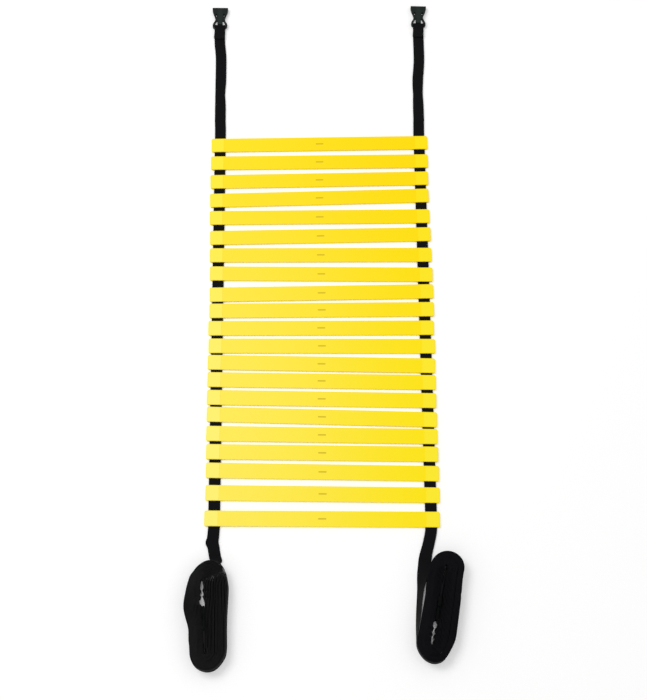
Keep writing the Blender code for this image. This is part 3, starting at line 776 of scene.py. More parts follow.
@dataclass
class RungSet:
    """The twenty-one moulded rungs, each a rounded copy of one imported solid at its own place.

    Attributes:
        frame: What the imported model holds.
        eased_round: The round on a rung's eased edges.
        square_round: The round on its square edges.
    """

    frame: dict
    eased_round: float = 0.00028
    square_round: float = 0.00014

    def __post_init__(self) -> None:
        """Find how each rung lies."""
        self.nodes = {name: node for name, node in self.frame["nodes"].items() if name.startswith("rung_")}
        self.names = sorted(self.nodes)
        self.model = self.names[len(self.names) // 2]
        self.places = {name: self.place_of(node) for name, node in self.nodes.items()}

    @staticmethod
    def place_of(node: bpy.types.Object) -> tuple[Vector, float]:
        """How a rung lies.

        Args:
            node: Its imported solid.

        Returns:
            Its middle, on the floor's level, and its turn about the upright axis.
        """
        co = np.array([v.co for v in node.data.vertices], float).reshape(-1, 3)
        co = np.unique(np.round(co, 6), axis=0)
        middle = (co.max(0) + co.min(0)) / 2
        flat = co[:, :2] - co[:, :2].mean(0)
        _, axes = np.linalg.eigh(flat.T @ flat)
        along = axes[:, 1] * (1 if axes[0, 1] > 0 else -1)
        return Vector((middle[0], middle[1], 0.0)), math.atan2(along[1], along[0])

    def build(self, finish: bpy.types.Material) -> list[bpy.types.Object]:
        """Make all the rungs.

        Args:
            finish: The rungs' material.

        Returns:
            The pieces.
        """
        middle, turn = self.places[self.model]
        shape = moulded_copy(self.nodes[self.model], self.eased_round, self.square_round)
        home = Matrix.Rotation(-turn, 4, "Z") @ Matrix.Translation(-middle)
        bmesh.ops.transform(shape, matrix=home, verts=shape.verts)
        lay_map(shape, "Rung", Matrix.Identity(4))
        made = []
        for name in self.names:
            spot, yaw = self.places[name]
            copy = shape.copy()
            place = Matrix.Translation(spot) @ Matrix.Rotation(yaw, 4, "Z")
            bmesh.ops.transform(copy, matrix=place, verts=copy.verts)
            item = finish_piece(name.replace("rung", "rung_moulding"), copy, finish, name)
            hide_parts(name)
            made.append(item)
        shape.free()
        return made


# Webbing


class End(Enum):
    """The two ends of a hank: its winding starts at the near one."""

    NEAR = "near"
    FAR = "far"


@dataclass(frozen=True)
class Dent:
    """A smooth dent or bump of a hank's outline, at an angle round one of its ends."""

    end: End
    angle: float
    reach: float
    size: float


@dataclass(frozen=True)
class Slot:
    """How far the inner turns lean in over the core, and where they pinch it.

    Attributes:
        right: The lean of the side at angle 0, by the share of the core's length.
        left: The lean of the other side.
        pinches: The shares at which both sides close up.
        squeeze: How far they close there.
        turns: The turns over which all of this fades.
    """

    right: Table
    left: Table
    pinches: tuple[float, ...]
    squeeze: float
    turns: float = 6.0


@dataclass(frozen=True)
class StrapPlan:
    """Where one side's webbing runs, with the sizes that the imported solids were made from.

    Attributes:
        name: The side's name.
        sign: -1 on the left and 1 on the right.
        turns: The whole turns of the hank.
        core: The length of the hank's core.
        gaps: The gaps between turns at the core's two ends.
        leans: How much wider the gaps are on one side than on the other, at both ends.
        tilt: The hank's turn on the floor, in degrees.
        belly: How far its side bulges.
        strip: Where the plug's bar stands along the core.
        drop: From the last rung down to the hank.
        side: From the strap's line across to the hank.
        exit: Where the last turn leaves the hank, in degrees.
        lead: The way from the last rung to the hank: shares down, across and of the turn on edge.
        tail: The way from the first rung's straight line to the socket: shares up and across.
        slot: The opening over the core.
        dents: What makes the outline uneven.
        groove: After how many turns the wider groove stands.
        tip: How far the turns' loose side leans out, in degrees.
        far_tip: How much more it does so at the far end.
        kink: A crease of the lead: its share, its shift and its extra width.
        crease_shift: How far the tail's crease shifts it.
        core_shift: How far the core's far half stands aside.
        seed: The seed of the turns' small differences.
    """

    name: str
    sign: int
    turns: int
    core: float
    gaps: tuple[float, float]
    leans: tuple[float, float]
    tilt: float
    belly: float
    strip: float
    drop: float
    side: float
    exit: float
    lead: tuple[tuple[float, float, float], ...]
    tail: Table
    slot: Slot
    dents: tuple[Dent, ...]
    groove: float
    tip: float
    far_tip: float
    kink: tuple[float, float, float]
    crease_shift: float
    core_shift: float
    seed: int


LEFT = StrapPlan(
    name="left", sign=-1, turns=15, core=0.1432, gaps=(0.00095, 0.00115), leans=(0.00047, 0.00072), tilt=2.36,
    belly=0.0115, strip=0.049, drop=0.077, side=-0.0198, exit=45.0,
    lead=((0.0, 0.0, 0.0), (0.22, -0.09, 0.0), (0.38, -0.16, 0.0), (0.535, -0.02, 0.0), (0.64, 0.085, 0.02),
          (0.69, 0.13, 0.02), (0.76, 0.20, 0.05), (0.825, 0.31, 0.18), (0.885, 0.48, 0.46),
          (0.95, 0.76, 0.84)),
    tail=((0.0, 0.0), (0.55, 0.04), (0.72, 0.30), (0.86, 0.75), (1.0, 1.0)),
    slot=Slot(
        right=((0.0, 0.0), (0.09, 0.0026), (0.30, 0.0026), (0.36, 0.0014), (0.62, 0.0014),
               (0.67, 0.0003), (0.75, 0.0005), (0.94, 0.0010), (1.0, 0.0030)),
        left=((0.0, 0.0040), (0.07, 0.0042), (0.13, 0.0034), (0.26, 0.0032), (0.30, 0.0028),
              (0.36, 0.0014), (0.50, 0.0014), (0.60, 0.0028), (0.655, 0.0036), (0.70, -0.0012),
              (0.755, -0.0012), (0.80, 0.0014), (0.94, 0.0016), (1.0, 0.0026)),
        pinches=(0.782, 0.876), squeeze=0.0030),
    dents=(Dent(End.FAR, 8.0, 17.0, -0.0026), Dent(End.FAR, 66.0, 24.0, 0.0040),
           Dent(End.FAR, 98.0, 14.0, -0.0010), Dent(End.FAR, 128.0, 24.0, -0.0036),
           Dent(End.FAR, 196.0, 22.0, 0.0012), Dent(End.NEAR, 131.0, 26.0, 0.0018),
           Dent(End.NEAR, 226.0, 24.0, 0.0006), Dent(End.NEAR, 326.0, 30.0, -0.0040),
           Dent(End.NEAR, 455.0, 90.0, -0.0022)),
    groove=6.4, tip=-3.6, far_tip=4.5, kink=(0.40, -0.0010, 0.12), crease_shift=-0.0011,
    core_shift=0.0030, seed=11,
)
RIGHT = StrapPlan(
    name="right", sign=1, turns=15, core=0.156, gaps=(0.00075, 0.00095), leans=(0.0003, 0.0005), tilt=-11.8,
    belly=0.0, strip=0.067, drop=0.0561, side=0.0245, exit=168.2,
    lead=((0.0, 0.0, 0.0), (0.055, 0.045, 0.0), (0.11, 0.12, 0.0), (0.18, 0.235, 0.0),
          (0.275, 0.42, 0.03), (0.36, 0.505, 0.17), (0.40, 0.55, 0.26), (0.446, 0.595, 0.38),
          (0.49, 0.645, 0.52), (0.54, 0.70, 0.64), (0.64, 0.778, 0.715), (0.74, 0.847, 0.76),
          (0.84, 0.920, 0.85), (0.93, 0.98, 0.96)),
    tail=((0.0, 0.0), (0.2, 0.22), (0.4, 0.72), (0.6, 1.0), (1.0, 1.0)),
    slot=Slot(
        right=((0.0, 0.0), (0.08, 0.0026), (0.40, 0.0026), (0.45, 0.0014), (0.65, 0.0014),
               (0.705, 0.0030), (0.75, 0.0008), (0.92, 0.0010), (1.0, 0.0030)),
        left=((0.0, 0.0044), (0.16, 0.0046), (0.22, 0.0034), (0.34, 0.0032), (0.40, 0.0026), (0.45, 0.0014),
              (0.65, 0.0014), (0.705, 0.0028), (0.75, 0.0008), (0.92, 0.0010), (1.0, 0.0026)),
        pinches=(0.825, 0.905), squeeze=0.0032),
    dents=(Dent(End.FAR, 15.0, 27.0, -0.0060), Dent(End.FAR, 76.0, 18.0, 0.0009),
           Dent(End.FAR, 128.0, 22.0, -0.0012), Dent(End.NEAR, 148.0, 42.0, 0.0034),
           Dent(End.NEAR, 388.0, 42.0, -0.0018), Dent(End.FAR, -174.0, 7.0, -0.0008)),
    groove=9.5, tip=2.6, far_tip=-4.0, kink=(0.29, 0.0013, 0.09), crease_shift=0.0, core_shift=0.0, seed=23,
)


# How finely the strip is drawn: steps on each stretch of a turn, and the turns that show in the core
CORE_TURNS = 3
CORE_STEPS = 84
LOOSE_STEPS = 22
TIGHT_STEPS = 24
END_STEPS = 32
STRAIGHT_STEPS = 64
LEAST_STEP = 2e-4
SEAM_MERGE = 1e-7

# A row of the hank: its place in the hank's plan, its lift off the floor and its outward lean
Row = tuple[float, float, float, float]


@dataclass(frozen=True)
class Webbing:
    """The webbing's own sizes, those of what it runs round, and the small ways of every strip."""

    width: float = 2 * WEBBING_HALF
    thickness: float = 0.0012
    spacing: float = 0.456
    layer_gap: float = 0.00035
    height: float = 0.00215
    rung_width: float = 0.0335
    bar_radius: float = 0.0022
    bar_clearance: float = 0.0003
    bar_height: float = 0.0043
    fold: float = 0.032
    tuck: float = 0.008
    plug_half: float = 0.0165
    # The hank: its winding, and what makes the turns differ (angles in degrees, grooves in turns)
    core_radius: float = 0.0052
    end_radius: float = 0.035
    belly_from: float = 0.235
    belly_to: float = 1.085
    groove_width: float = 0.0005
    groove_blend: float = 0.35
    groove_reach: float = 3.2
    pinch_reach: float = 0.0026
    pinch_fade: float = 1.5
    core_shift_from: float = 0.5
    core_shift_over: float = 0.3
    lift: float = 0.0011
    sway: float = 2.2
    far_tip_at: float = 52.0
    far_tip_reach: float = 28.0
    cup: float = 0.0008
    cup_fades: tuple[int, int] = (120, 12)
    wound_bead: float = 0.2
    bead_slope: float = 9.0
    bead_start: float = 3.4
    # A whole turn is counted as two sides and two ends
    side_part: float = 4 / 24
    end_part: float = 8 / 24
    # The lead, the straight run and the tail
    kink_reach: float = 0.06
    waves: tuple[Span, ...] = ((0.00012, 61.0), (0.00006, 173.0))
    tail_out: float = 0.001
    tail_bend: float = 0.135
    crease_at: float = 0.577
    crease_reach: float = 0.020
    crease_narrow: float = 0.085
    # The socket's fold flares towards its end
    flare_from: float = 0.012
    flare_over: float = 0.018
    flare_width: float = 0.045
    flare_slip: float = -0.0009
    # The upper half of the strip's section: shares of its width and of its thickness
    section: Table = (
        (0.5, 0.0), (0.4965, 0.26), (0.486, 0.43), (0.462, 0.5), (0.38, 0.46), (0.22, 0.5), (0.07, 0.5),
        (-0.07, 0.5), (-0.22, 0.5), (-0.38, 0.46), (-0.462, 0.5), (-0.486, 0.43), (-0.4965, 0.26),
        (-0.5, 0.0),
    )

    @property
    def pitch(self) -> float:
        """From one laid layer's middle to the next one's."""
        return self.thickness + self.layer_gap

    @property
    def wrap(self) -> float:
        """The radius of the webbing's middle round a buckle's bar."""
        return self.bar_radius + self.bar_clearance + self.thickness / 2


@dataclass
class Station:
    """One place along a strip.

    Attributes:
        middle: Its middle.
        across: The direction across it.
        wide: Its width, as a share of the webbing's.
        bead: How much its selvedges are swollen, as a share of the thickness.
        slip: How far it has slipped sideways.
        cup: How deep it is cupped.
    """

    middle: Vector
    across: Vector
    wide: float = 1.0
    bead: float = 0.0
    slip: float = 0.0
    cup: float = 0.0


@dataclass
class Strap:
    """One side's whole length of webbing: plug loop, hank, lead, straight run, tail and socket loop.

    Attributes:
        plan: The side's plan.
        top_rung: The first rung's place.
        foot_rung: The last rung's place.
        bar: The middle of the socket's bar.
        bar_turn: The bar's turn about the upright axis.
        web: The webbing's sizes.
    """

    plan: StrapPlan
    top_rung: float
    foot_rung: float
    bar: Vector
    bar_turn: float
    web: Webbing = field(default_factory=Webbing)

    def __post_init__(self) -> None:
        """Work out where the hank stands."""
        plan, web = self.plan, self.web
        self.line = plan.sign * web.spacing / 2
        self.foot = self.foot_rung - web.rung_width / 2
        self.flip = 1 if plan.sign < 0 else -1
        upper_gap = plan.gaps[1] if plan.sign < 0 else plan.gaps[0]
        upper_radius = web.core_radius + plan.turns * (web.thickness + upper_gap)
        self.turned = Matrix.Rotation(math.radians(plan.tilt), 3, "Z")
        top = Vector((self.line + plan.side, self.foot - plan.drop - upper_radius, 0))
        reach = self.turned @ Vector((0, self.flip * plan.core, 0))
        self.start = top - reach if plan.sign < 0 else top
        draw = random.Random(plan.seed)
        self.rise = [(draw.random(), draw.random(), draw.random()) for _ in range(plan.turns + 3)]

    def place(self, x: float, y: float, z: float) -> Vector:
        """A point of the hank's own plan in the ladder's frame."""
        return self.start + self.turned @ Vector((x, self.flip * y, 0)) + Vector((0, 0, z))

    def swell(self, share: float) -> float:
        """How much of the belly stands at a place.

        Args:
            share: The share of the core's length.

        Returns:
            Its share, from 0 to 1.
        """
        web = self.web
        part = min(max((share - web.belly_from) / (web.belly_to - web.belly_from), 0.0), 1.0)
        return math.sin(math.pi * part) ** 2

    def loosened(self, turned: float) -> float:
        """How far a turn on the loose side leaves its even place, with a wider groove after one of them."""
        web, past = self.web, turned - self.plan.groove
        return web.groove_width * math.tanh(past / web.groove_blend) * hump(past, 0.0, web.groove_reach)

    def dented(self, share: float, angle: float) -> float:
        """How far the outline leaves its even curve.

        Args:
            share: The share of the core's length.
            angle: The angle round the end.

        Returns:
            The distance outward.
        """
        far_side = (1 - share) * self.plan.core / self.web.end_radius
        near_side = share * self.plan.core / self.web.end_radius
        if angle < 0.5 * math.pi:
            far, near = angle - far_side, math.tau + angle + near_side
        elif angle <= math.pi:
            far, near = angle + far_side, angle - near_side
        else:
            far, near = angle + far_side, angle
        total = 0.0
        for dent in self.plan.dents:
            at = far if dent.end is End.FAR else near
            total += dent.size * hump(math.degrees(at), dent.angle, dent.reach)
        return total

    def turn_point(self, loop: int, turned: float, share: float, angle: float) -> Row:
        """One point of the winding.

        Args:
            loop: The whole turns so far.
            turned: The turns so far.
            share: The share of the core's length, from the near end.
            angle: The angle round the end, 0 on the loose side.

        Returns:
            Its place in the hank's plan, its lift off the floor and its outward lean.
        """
        plan, web = self.plan, self.web
        loose = (1 + math.cos(angle)) / 2
        loose_loop = loop + (1 if angle > math.pi else 0)
        lean = plan.leans[0] + (plan.leans[1] - plan.leans[0]) * share
        gap = plan.gaps[0] + (plan.gaps[1] - plan.gaps[0]) * share
        pitch = web.thickness + gap + lean * math.cos(angle)
        outer = min(turned / plan.turns, 1.0)
        inner = max(0.0, 1 - turned / plan.slot.turns)
        radius = web.core_radius + turned * pitch + self.loosened(turned) * loose * ease(turned / 2)
        radius += self.dented(share, angle) * outer
        right, left = profile(plan.slot.right, share), profile(plan.slot.left, share)
        pull = (right * loose + left * (1 - loose)) * inner
        for pinch in plan.slot.pinches:
            near = hump(share * plan.core, pinch * plan.core, web.pinch_reach)
            pull += plan.slot.squeeze * near * inner ** web.pinch_fade
        bulge = plan.belly * outer * self.swell(share) if angle == math.pi else 0.0
        x = (radius - pull) * math.cos(angle) - bulge
        x -= plan.core_shift * (1 - outer) * ease((share - web.core_shift_from) / web.core_shift_over)
        y = plan.core * share + radius * math.sin(angle)
        rise = self.rise[loose_loop][0] * loose + self.rise[loop][1] * (1 - loose)
        tip = plan.tip * loose
        if share == 1.0:
            tip += plan.far_tip * hump(math.degrees(angle), web.far_tip_at, web.far_tip_reach)
        tip += web.sway * loose * (self.rise[loose_loop][2] - 0.5)
        return x, y, web.lift * rise * ease(turned), math.radians(tip) * ease(turned)

    def core_rows(self) -> list[Row]:
        """The loop round the plug's bar, and the first bend out of it.

        Returns:
            The rows, from the strip's inner end out.
        """
        plan, web = self.plan, self.web
        layer, wrap = web.pitch / 2, web.wrap
        bar = plan.strip
        inner = [(-layer, bar - web.fold, 1.0), (-layer, bar - 5 * wrap, 1.0), (-layer, bar - 3 * wrap, 1.0),
                 (-(layer + wrap) / 2, bar - 1.5 * wrap, 1.0)]
        for k in range(9):
            angle = math.pi * (1 - k / 8)
            inner.append((wrap * math.cos(angle), bar + wrap * math.sin(angle), 1.0))
        inner += [((layer + wrap) / 2, bar - 1.5 * wrap, 1.0), (layer, bar - 3 * wrap, 1.0),
                  (layer, bar - 5 * wrap, 1.0), (layer, bar - web.fold, 0.85),
                  (layer, bar * 0.2, 0.2), (layer, 0.0, 0.12)]
        raised = web.plug_half - web.width / 2
        rows = [(x, y, raised * up, 0.0) for x, y, up in smooth_route(inner, 3)]
        small = (web.core_radius - layer) / 2
        for k in range(1, 9):
            angle = math.pi * (1 + k / 8)
            rows.append((layer + small * (1 + math.cos(angle)), small * math.sin(angle),
                         raised * inner[-1][2] * (1 - k / 8), 0.0))
        return rows

    def turn_rows(self, loop: int) -> list[Row]:
        """One turn of the hank: up the loose side, round the far end, down, and round the near end.

        Args:
            loop: The whole turns before it. The last one ends where the strip leaves the hank.

        Returns:
            Its rows.
        """
        plan, web = self.plan, self.web
        last = loop == plan.turns
        open_turn = loop < CORE_TURNS
        rows = []
        count = CORE_STEPS if open_turn else LOOSE_STEPS
        for k in range(1, count + 1):
            rows.append(self.turn_point(loop, loop + web.side_part * k / count, k / count, 0.0))
        sweep = math.radians(plan.exit) if last else math.pi
        count = max(2, round(END_STEPS * sweep / math.pi))
        for k in range(1, count + 1):
            angle = sweep * k / count
            turned = loop + web.side_part + web.end_part * angle / math.pi
            rows.append(self.turn_point(loop, turned, 1.0, angle))
        if last:
            return rows
        turned = loop + web.side_part + web.end_part
        count = CORE_STEPS if open_turn else TIGHT_STEPS
        for k in range(1, count + 1):
            rows.append(self.turn_point(loop, turned + web.side_part * k / count, 1 - k / count, math.pi))
        turned += web.side_part
        for k in range(1, END_STEPS + 1):
            angle = math.pi * (1 + k / END_STEPS)
            rows.append(self.turn_point(loop, turned + web.end_part * k / END_STEPS, 0.0, angle))
        return rows

    def wound(self) -> list[Station]:
        """The plug's loop and all the turns of the hank.

        Returns:
            The stations, from the strip's inner end out.
        """
        plan, web = self.plan, self.web
        rows = self.core_rows()
        first = len(rows)
        for loop in range(plan.turns + 1):
            rows += self.turn_rows(loop)
        points = [self.place(x, y, web.width / 2 + lift) for x, y, lift, _ in rows]
        last = len(rows) - 1
        out = []
        for i, (point, row) in enumerate(zip(points, rows)):
            ahead = points[min(i + 1, last)] - points[max(i - 1, 0)]
            outward = Vector((ahead.y, -ahead.x, 0)).normalized() * self.flip
            up = Vector((0, 0, math.cos(row[3]))) + outward * math.sin(row[3])
            cupped = ease((i - first) / web.cup_fades[0]) * ease((last - i) / web.cup_fades[1])
            out.append(Station(point, up * plan.sign, bead=web.wound_bead, cup=web.cup * cupped))
        return out

    def lead(self, begin: Vector) -> list[Station]:
        """From the hank's last turn to the last rung, turning from on edge to flat.

        Args:
            begin: Where the hank ends.

        Returns:
            The stations, from the hank up.
        """
        web, plan = self.web, self.plan
        rows = []
        for down, across, turned in smooth_route([*plan.lead, (1.0, 1.0, 1.0)], 6):
            roll = min(max(turned, 0.0), 1.0) * math.pi / 2
            x = self.line + (begin.x - self.line) * across
            y = self.foot + (begin.y - self.foot) * down
            stand = web.width / 2 * math.sin(roll) + web.thickness / 2 * math.cos(roll)
            crease = hump(down, plan.kink[0], web.kink_reach)
            rows.append((Vector((x + plan.kink[1] * crease, y, max(web.height, stand))), roll, crease))
        rows.reverse()
        rows[0] = (begin, math.pi / 2, 0.0)
        out = []
        for i, (middle, roll, crease) in enumerate(rows):
            ahead = rows[min(i + 1, len(rows) - 1)][0] - rows[max(i - 1, 0)][0]
            level = Vector((ahead.y, -ahead.x, 0)).normalized()
            across = level * math.cos(roll) + Vector((0, 0, plan.sign * math.sin(roll)))
            out.append(Station(middle, across, wide=1 + plan.kink[2] * crease))
        return out[1:]

    def straight(self) -> list[Station]:
        """Through all the rungs and up the tail, nearly flat, to the start of the socket's loop.

        Returns:
            The stations, from the last rung up.
        """
        web, plan = self.web, self.plan
        flat = Vector((1, 0, 0))
        head = self.top_rung + web.rung_width
        tail_x = self.line + plan.sign * web.tail_out
        turn = Matrix.Rotation(self.bar_turn, 3, "Z")
        across = turn @ flat
        end = self.bar + turn @ Vector((0, -web.fold, 0))
        bend = end.y - web.tail_bend
        rows: list[Station] = []
        for k in range(1, STRAIGHT_STEPS + 1):
            y = self.foot + (bend - self.foot) * k / STRAIGHT_STEPS
            out = ease((y - head) / web.rung_width)
            (slow, slow_waves), (quick, quick_waves) = web.waves
            wave = slow * math.sin(y * slow_waves + plan.seed) + quick * math.sin(y * quick_waves)
            x = self.line + (tail_x - self.line) * out
            rows.append(Station(Vector((x, y, web.height + wave)), flat))
        for share, shifted in smooth_route(plan.tail, 6)[1:-1]:
            middle = Vector((tail_x + (end.x - tail_x) * shifted, bend + (end.y - bend) * share, web.height))
            rows.append(Station(middle, flat.lerp(across, share)))
        for row in rows:
            crease = hump(row.middle.y, web.crease_at, web.crease_reach)
            row.wide = 1 - web.crease_narrow * crease
            row.middle.x += plan.crease_shift * crease
        return rows

    def socket_loop(self) -> list[Station]:
        """Under the socket's bar, round it, back over the tail, and tucked under its own end.

        Returns:
            The stations, from the tail to the strip's outer end.
        """
        web = self.web
        turn = Matrix.Rotation(self.bar_turn, 3, "Z")
        across = turn @ Vector((1, 0, 0))
        wrap, tall, low = web.wrap, web.bar_height, web.height
        top = low + 2 * web.pitch
        under = tall - wrap
        side = [(-web.fold, low), (-6.5 * wrap, low), (-4.5 * wrap, low),
                (-2 * wrap, under + (low - under) / 3)]
        for k in range(11):
            angle = math.radians(-90.0 + 21.0 * k)
            side.append((wrap * math.cos(angle), tall + wrap * math.sin(angle)))
        side += [(-1.6 * wrap, top + (tall + wrap - top) / 6), (-3 * wrap, top), (-6 * wrap, top)]
        tuck = web.pitch / 2
        back = [(-web.fold + tuck * math.cos(a), top - tuck + tuck * math.sin(a))
                for a in (math.pi / 2 + math.pi * k / 8 for k in range(9))]
        rows = [tuple(p) for p in smooth_route(side, 3)] + [(-web.fold + web.tuck / 2, top)] + back
        rows += [(-web.fold + web.tuck / 2, top - 2 * tuck), (-web.fold + web.tuck, top - 2 * tuck)]
        out = []
        for y, z in rows:
            above = ease((z - tall) / (2 * tuck)) if y < 0 else 0.0
            flare = above * ease((-y - web.flare_from) / web.flare_over)
            middle = self.bar + turn @ Vector((0, y, z - tall))
            out.append(Station(middle, across, wide=1 + web.flare_width * flare, slip=web.flare_slip * flare))
        return out

    def stations(self) -> list[Station]:
        """The whole length, from the plug's loop to the socket's.

        Returns:
            The stations, without those that all but meet.
        """
        rows = self.wound()
        rows += self.lead(rows[-1].middle.copy())
        rows += self.straight()
        rows += self.socket_loop()
        kept = [rows[0]]
        for row in rows[1:]:
            if (row.middle - kept[-1].middle).length > LEAST_STEP:
                kept.append(row)
        return kept

    def corners(self, row: Station, behind: Vector, ahead: Vector, ring: Sequence[Span]) -> list[Vector]:
        """The section's corners at one station.

        Args:
            row: The station.
            behind: The middle before it.
            ahead: The middle after it.
            ring: The section's outline.

        Returns:
            The corners, in the outline's order.
        """
        web = self.web
        along = ((row.middle - behind).normalized() + (ahead - row.middle).normalized()).normalized()
        side = (row.across - along * row.across.dot(along)).normalized()
        face_way = along.cross(side)
        wide = side * web.width * row.wide
        thick = face_way * web.thickness
        middle = row.middle + side * row.slip
        out = []
        for a, t in ring:
            swollen = 1 + row.bead * ease(abs(a) * web.bead_slope - web.bead_start)
            out.append(middle + wide * a + thick * t * swollen + face_way * row.cup * (1 - 4 * a * a))
        return out

    def build(self, finish: bpy.types.Material) -> tuple[bpy.types.Object, float]:
        """Make the strip as one closed body with its weave's map.

        Args:
            finish: The webbing's material.

        Returns:
            The piece and the strip's length.
        """
        web = self.web
        rows = self.stations()
        ring = [*web.section, *((a, -t) for a, t in reversed(web.section[1:-1]))]
        middles = [row.middle for row in rows]
        lengths = [0.0]
        for a, b in zip(middles, middles[1:]):
            lengths.append(lengths[-1] + (b - a).length)
        last = len(rows) - 1
        bm = bmesh.new()
        bmesh.ops.create_grid(bm, x_segments=last, y_segments=len(ring), size=1.0)
        layer = bm.loops.layers.uv.new("Webbing")
        spots = {v: (round((v.co.x + 1) / 2 * last), round((v.co.y + 1) / 2 * len(ring)))
                 for v in bm.verts}
        for face in bm.faces:
            face.smooth = True
            for loop in face.loops:
                i, j = spots[loop.vert]
                loop[layer].uv = (ring[j % len(ring)][0] * web.width, lengths[i])
        corners = [self.corners(row, middles[max(i - 1, 0)], middles[min(i + 1, last)], ring)
                   for i, row in enumerate(rows)]
        for vert, (i, j) in spots.items():
            vert.co = corners[i][j % len(ring)]
        bmesh.ops.remove_doubles(bm, verts=bm.verts, dist=SEAM_MERGE)
        rims = [e for e in bm.edges if e.is_boundary]
        bmesh.ops.holes_fill(bm, edges=rims, sides=0)
        bmesh.ops.recalc_face_normals(bm, faces=bm.faces)
        item = finish_piece(f"webbing_{self.plan.name}", bm, finish, "webbing")
        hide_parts(f"strap_{self.plan.name}", f"hank_{self.plan.name}")
        return item, lengths[-1]


@dataclass
class Stitches:
    """The sewn box and cross that holds a loop's layers together, on both of its faces.

    Attributes:
        strap: The strap that they are sewn on.
        length: A stitch's length.
        space: From one stitch to the next one.
        radius: The thread's radius.
        half_box: Half of the box's width.
        box_start: Where the box begins along the strip, from the buckle's bar.
        box_end: Where it ends.
        top_shift: How far the upper stitches stand aside.
    """

    strap: Strap
    length: float = 0.0027
    space: float = 0.0034
    radius: float = 0.00034
    half_box: float = 0.0092
    box_start: float = -0.0295
    box_end: float = -0.0125
    top_shift: float = -0.0003

    def rows(self) -> list[tuple[float, float, float]]:
        """Each stitch of the box and the cross.

        Returns:
            For each stitch its place across, its place along from the bar, and its turn.
        """
        half, start, end = self.half_box, self.box_start, self.box_end
        corners = [(-half, start), (half, start), (half, end), (-half, end)]
        lines = list(zip(corners, corners[1:] + corners[:1]))
        lines += [(corners[0], corners[2]), (corners[1], corners[3])]
        out = []
        for (ax, ay), (bx, by) in lines:
            size = math.hypot(bx - ax, by - ay)
            count = max(2, round(size / self.space))
            for k in range(count):
                share = (k + 0.5) / count
                out.append((ax + (bx - ax) * share, ay + (by - ay) * share, math.atan2(by - ay, bx - ax)))
        return out

    def sew(self, name: str, faces: Sequence[Matrix], finish: bpy.types.Material) -> bpy.types.Object:
        """Make all the stitches of one loop as one piece.

        Args:
            name: The piece's name.
            faces: The frames of the faces that are sewn, with +Z out of each.
            finish: The thread's material.

        Returns:
            The piece.
        """
        bm = bmesh.new()
        size = Matrix.Diagonal((self.length / 2, self.radius, self.radius, 1.0))
        for face in faces:
            for across, along, turn in self.rows():
                place = face @ Matrix.Translation((across, along, 0)) @ Matrix.Rotation(turn, 4, "Z")
                bmesh.ops.create_uvsphere(bm, u_segments=8, v_segments=5, radius=1.0, matrix=place @ size)
        for piece in bm.faces:
            piece.smooth = True
        bmesh.ops.recalc_face_normals(bm, faces=bm.faces)
        return finish_piece(name, bm, finish, "webbing")

    def socket_faces(self) -> tuple[Matrix, Matrix]:
        """The faces of the fold at the socket's bar.

        Returns:
            The frames of its top and its underside.
        """
        strap, web = self.strap, self.strap.web
        skin = web.thickness / 2
        frame = Matrix.Translation(strap.bar) @ Matrix.Rotation(strap.bar_turn, 4, "Z")
        above = web.height + 2 * web.pitch + skin - web.bar_height
        top = frame @ Matrix.Translation((self.top_shift, 0, above))
        under = frame @ Matrix.Translation((0, 0, web.height - skin - web.bar_height))
        return top, under @ Matrix.Rotation(math.pi, 4, "Y")

    def plug_faces(self) -> list[Matrix]:
        """The faces of the fold at the plug's bar.

        Returns:
            The frames of both.
        """
        strap, web = self.strap, self.strap.web
        layer = web.pitch / 2 + web.thickness / 2
        middle = strap.place(0, 0, 0)
        along = (strap.place(0, 1, 0) - middle).normalized()
        faces = []
        for side in (-1, 1):
            base = strap.place(side * layer, strap.plan.strip, web.plug_half)
            out = (strap.place(side, 0, 0) - middle).normalized()
            turned = Matrix((along.cross(out), along, out)).transposed().to_4x4()
            faces.append(Matrix.Translation(base) @ turned)
        return faces

    def build(self, finish: bpy.types.Material) -> list[bpy.types.Object]:
        """Sew both of the strap's loops.

        Args:
            finish: The thread's material.

        Returns:
            The pieces.
        """
        side = self.strap.plan.name
        return [self.sew(f"socket_stitches_{side}", self.socket_faces(), finish),
                self.sew(f"plug_stitches_{side}", self.plug_faces(), finish)]


# Buckles


@dataclass
class Buckles:
    """The socket and plug halves of the side-release buckles, with their moulded edges rounded.

    Attributes:
        frame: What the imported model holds.
        eased_round: The round on their eased edges.
        square_round: The round on their square edges.
    """

    frame: dict
    eased_round: float = 0.00030
    square_round: float = 0.00022

    def build(self, shown: bpy.types.Material, shaded: bpy.types.Material) -> None:
        """Make all four.

        Args:
            shown: The sockets' material.
            shaded: The plugs' material.
        """
        for side in ("left", "right"):
            bar, turn = hinge_of(self.frame, f"female_buckle_{side}_hinge")
            home = Matrix.Rotation(-turn, 4, "Z") @ Matrix.Translation(-bar)
            for kind, name, finish, body in (("female", "socket", shown, f"female_buckle_{side}"),
                                             ("male", "plug", shaded, "webbing")):
                node = self.frame["nodes"][f"{kind}_buckle_{side}"]
                bm = moulded_copy(node, self.eased_round, self.square_round)
                lay_map(bm, "Buckle", home)
                item = finish_piece(f"{name}_buckle_{side}", bm, finish, body)
                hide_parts(node.name)


# Studio


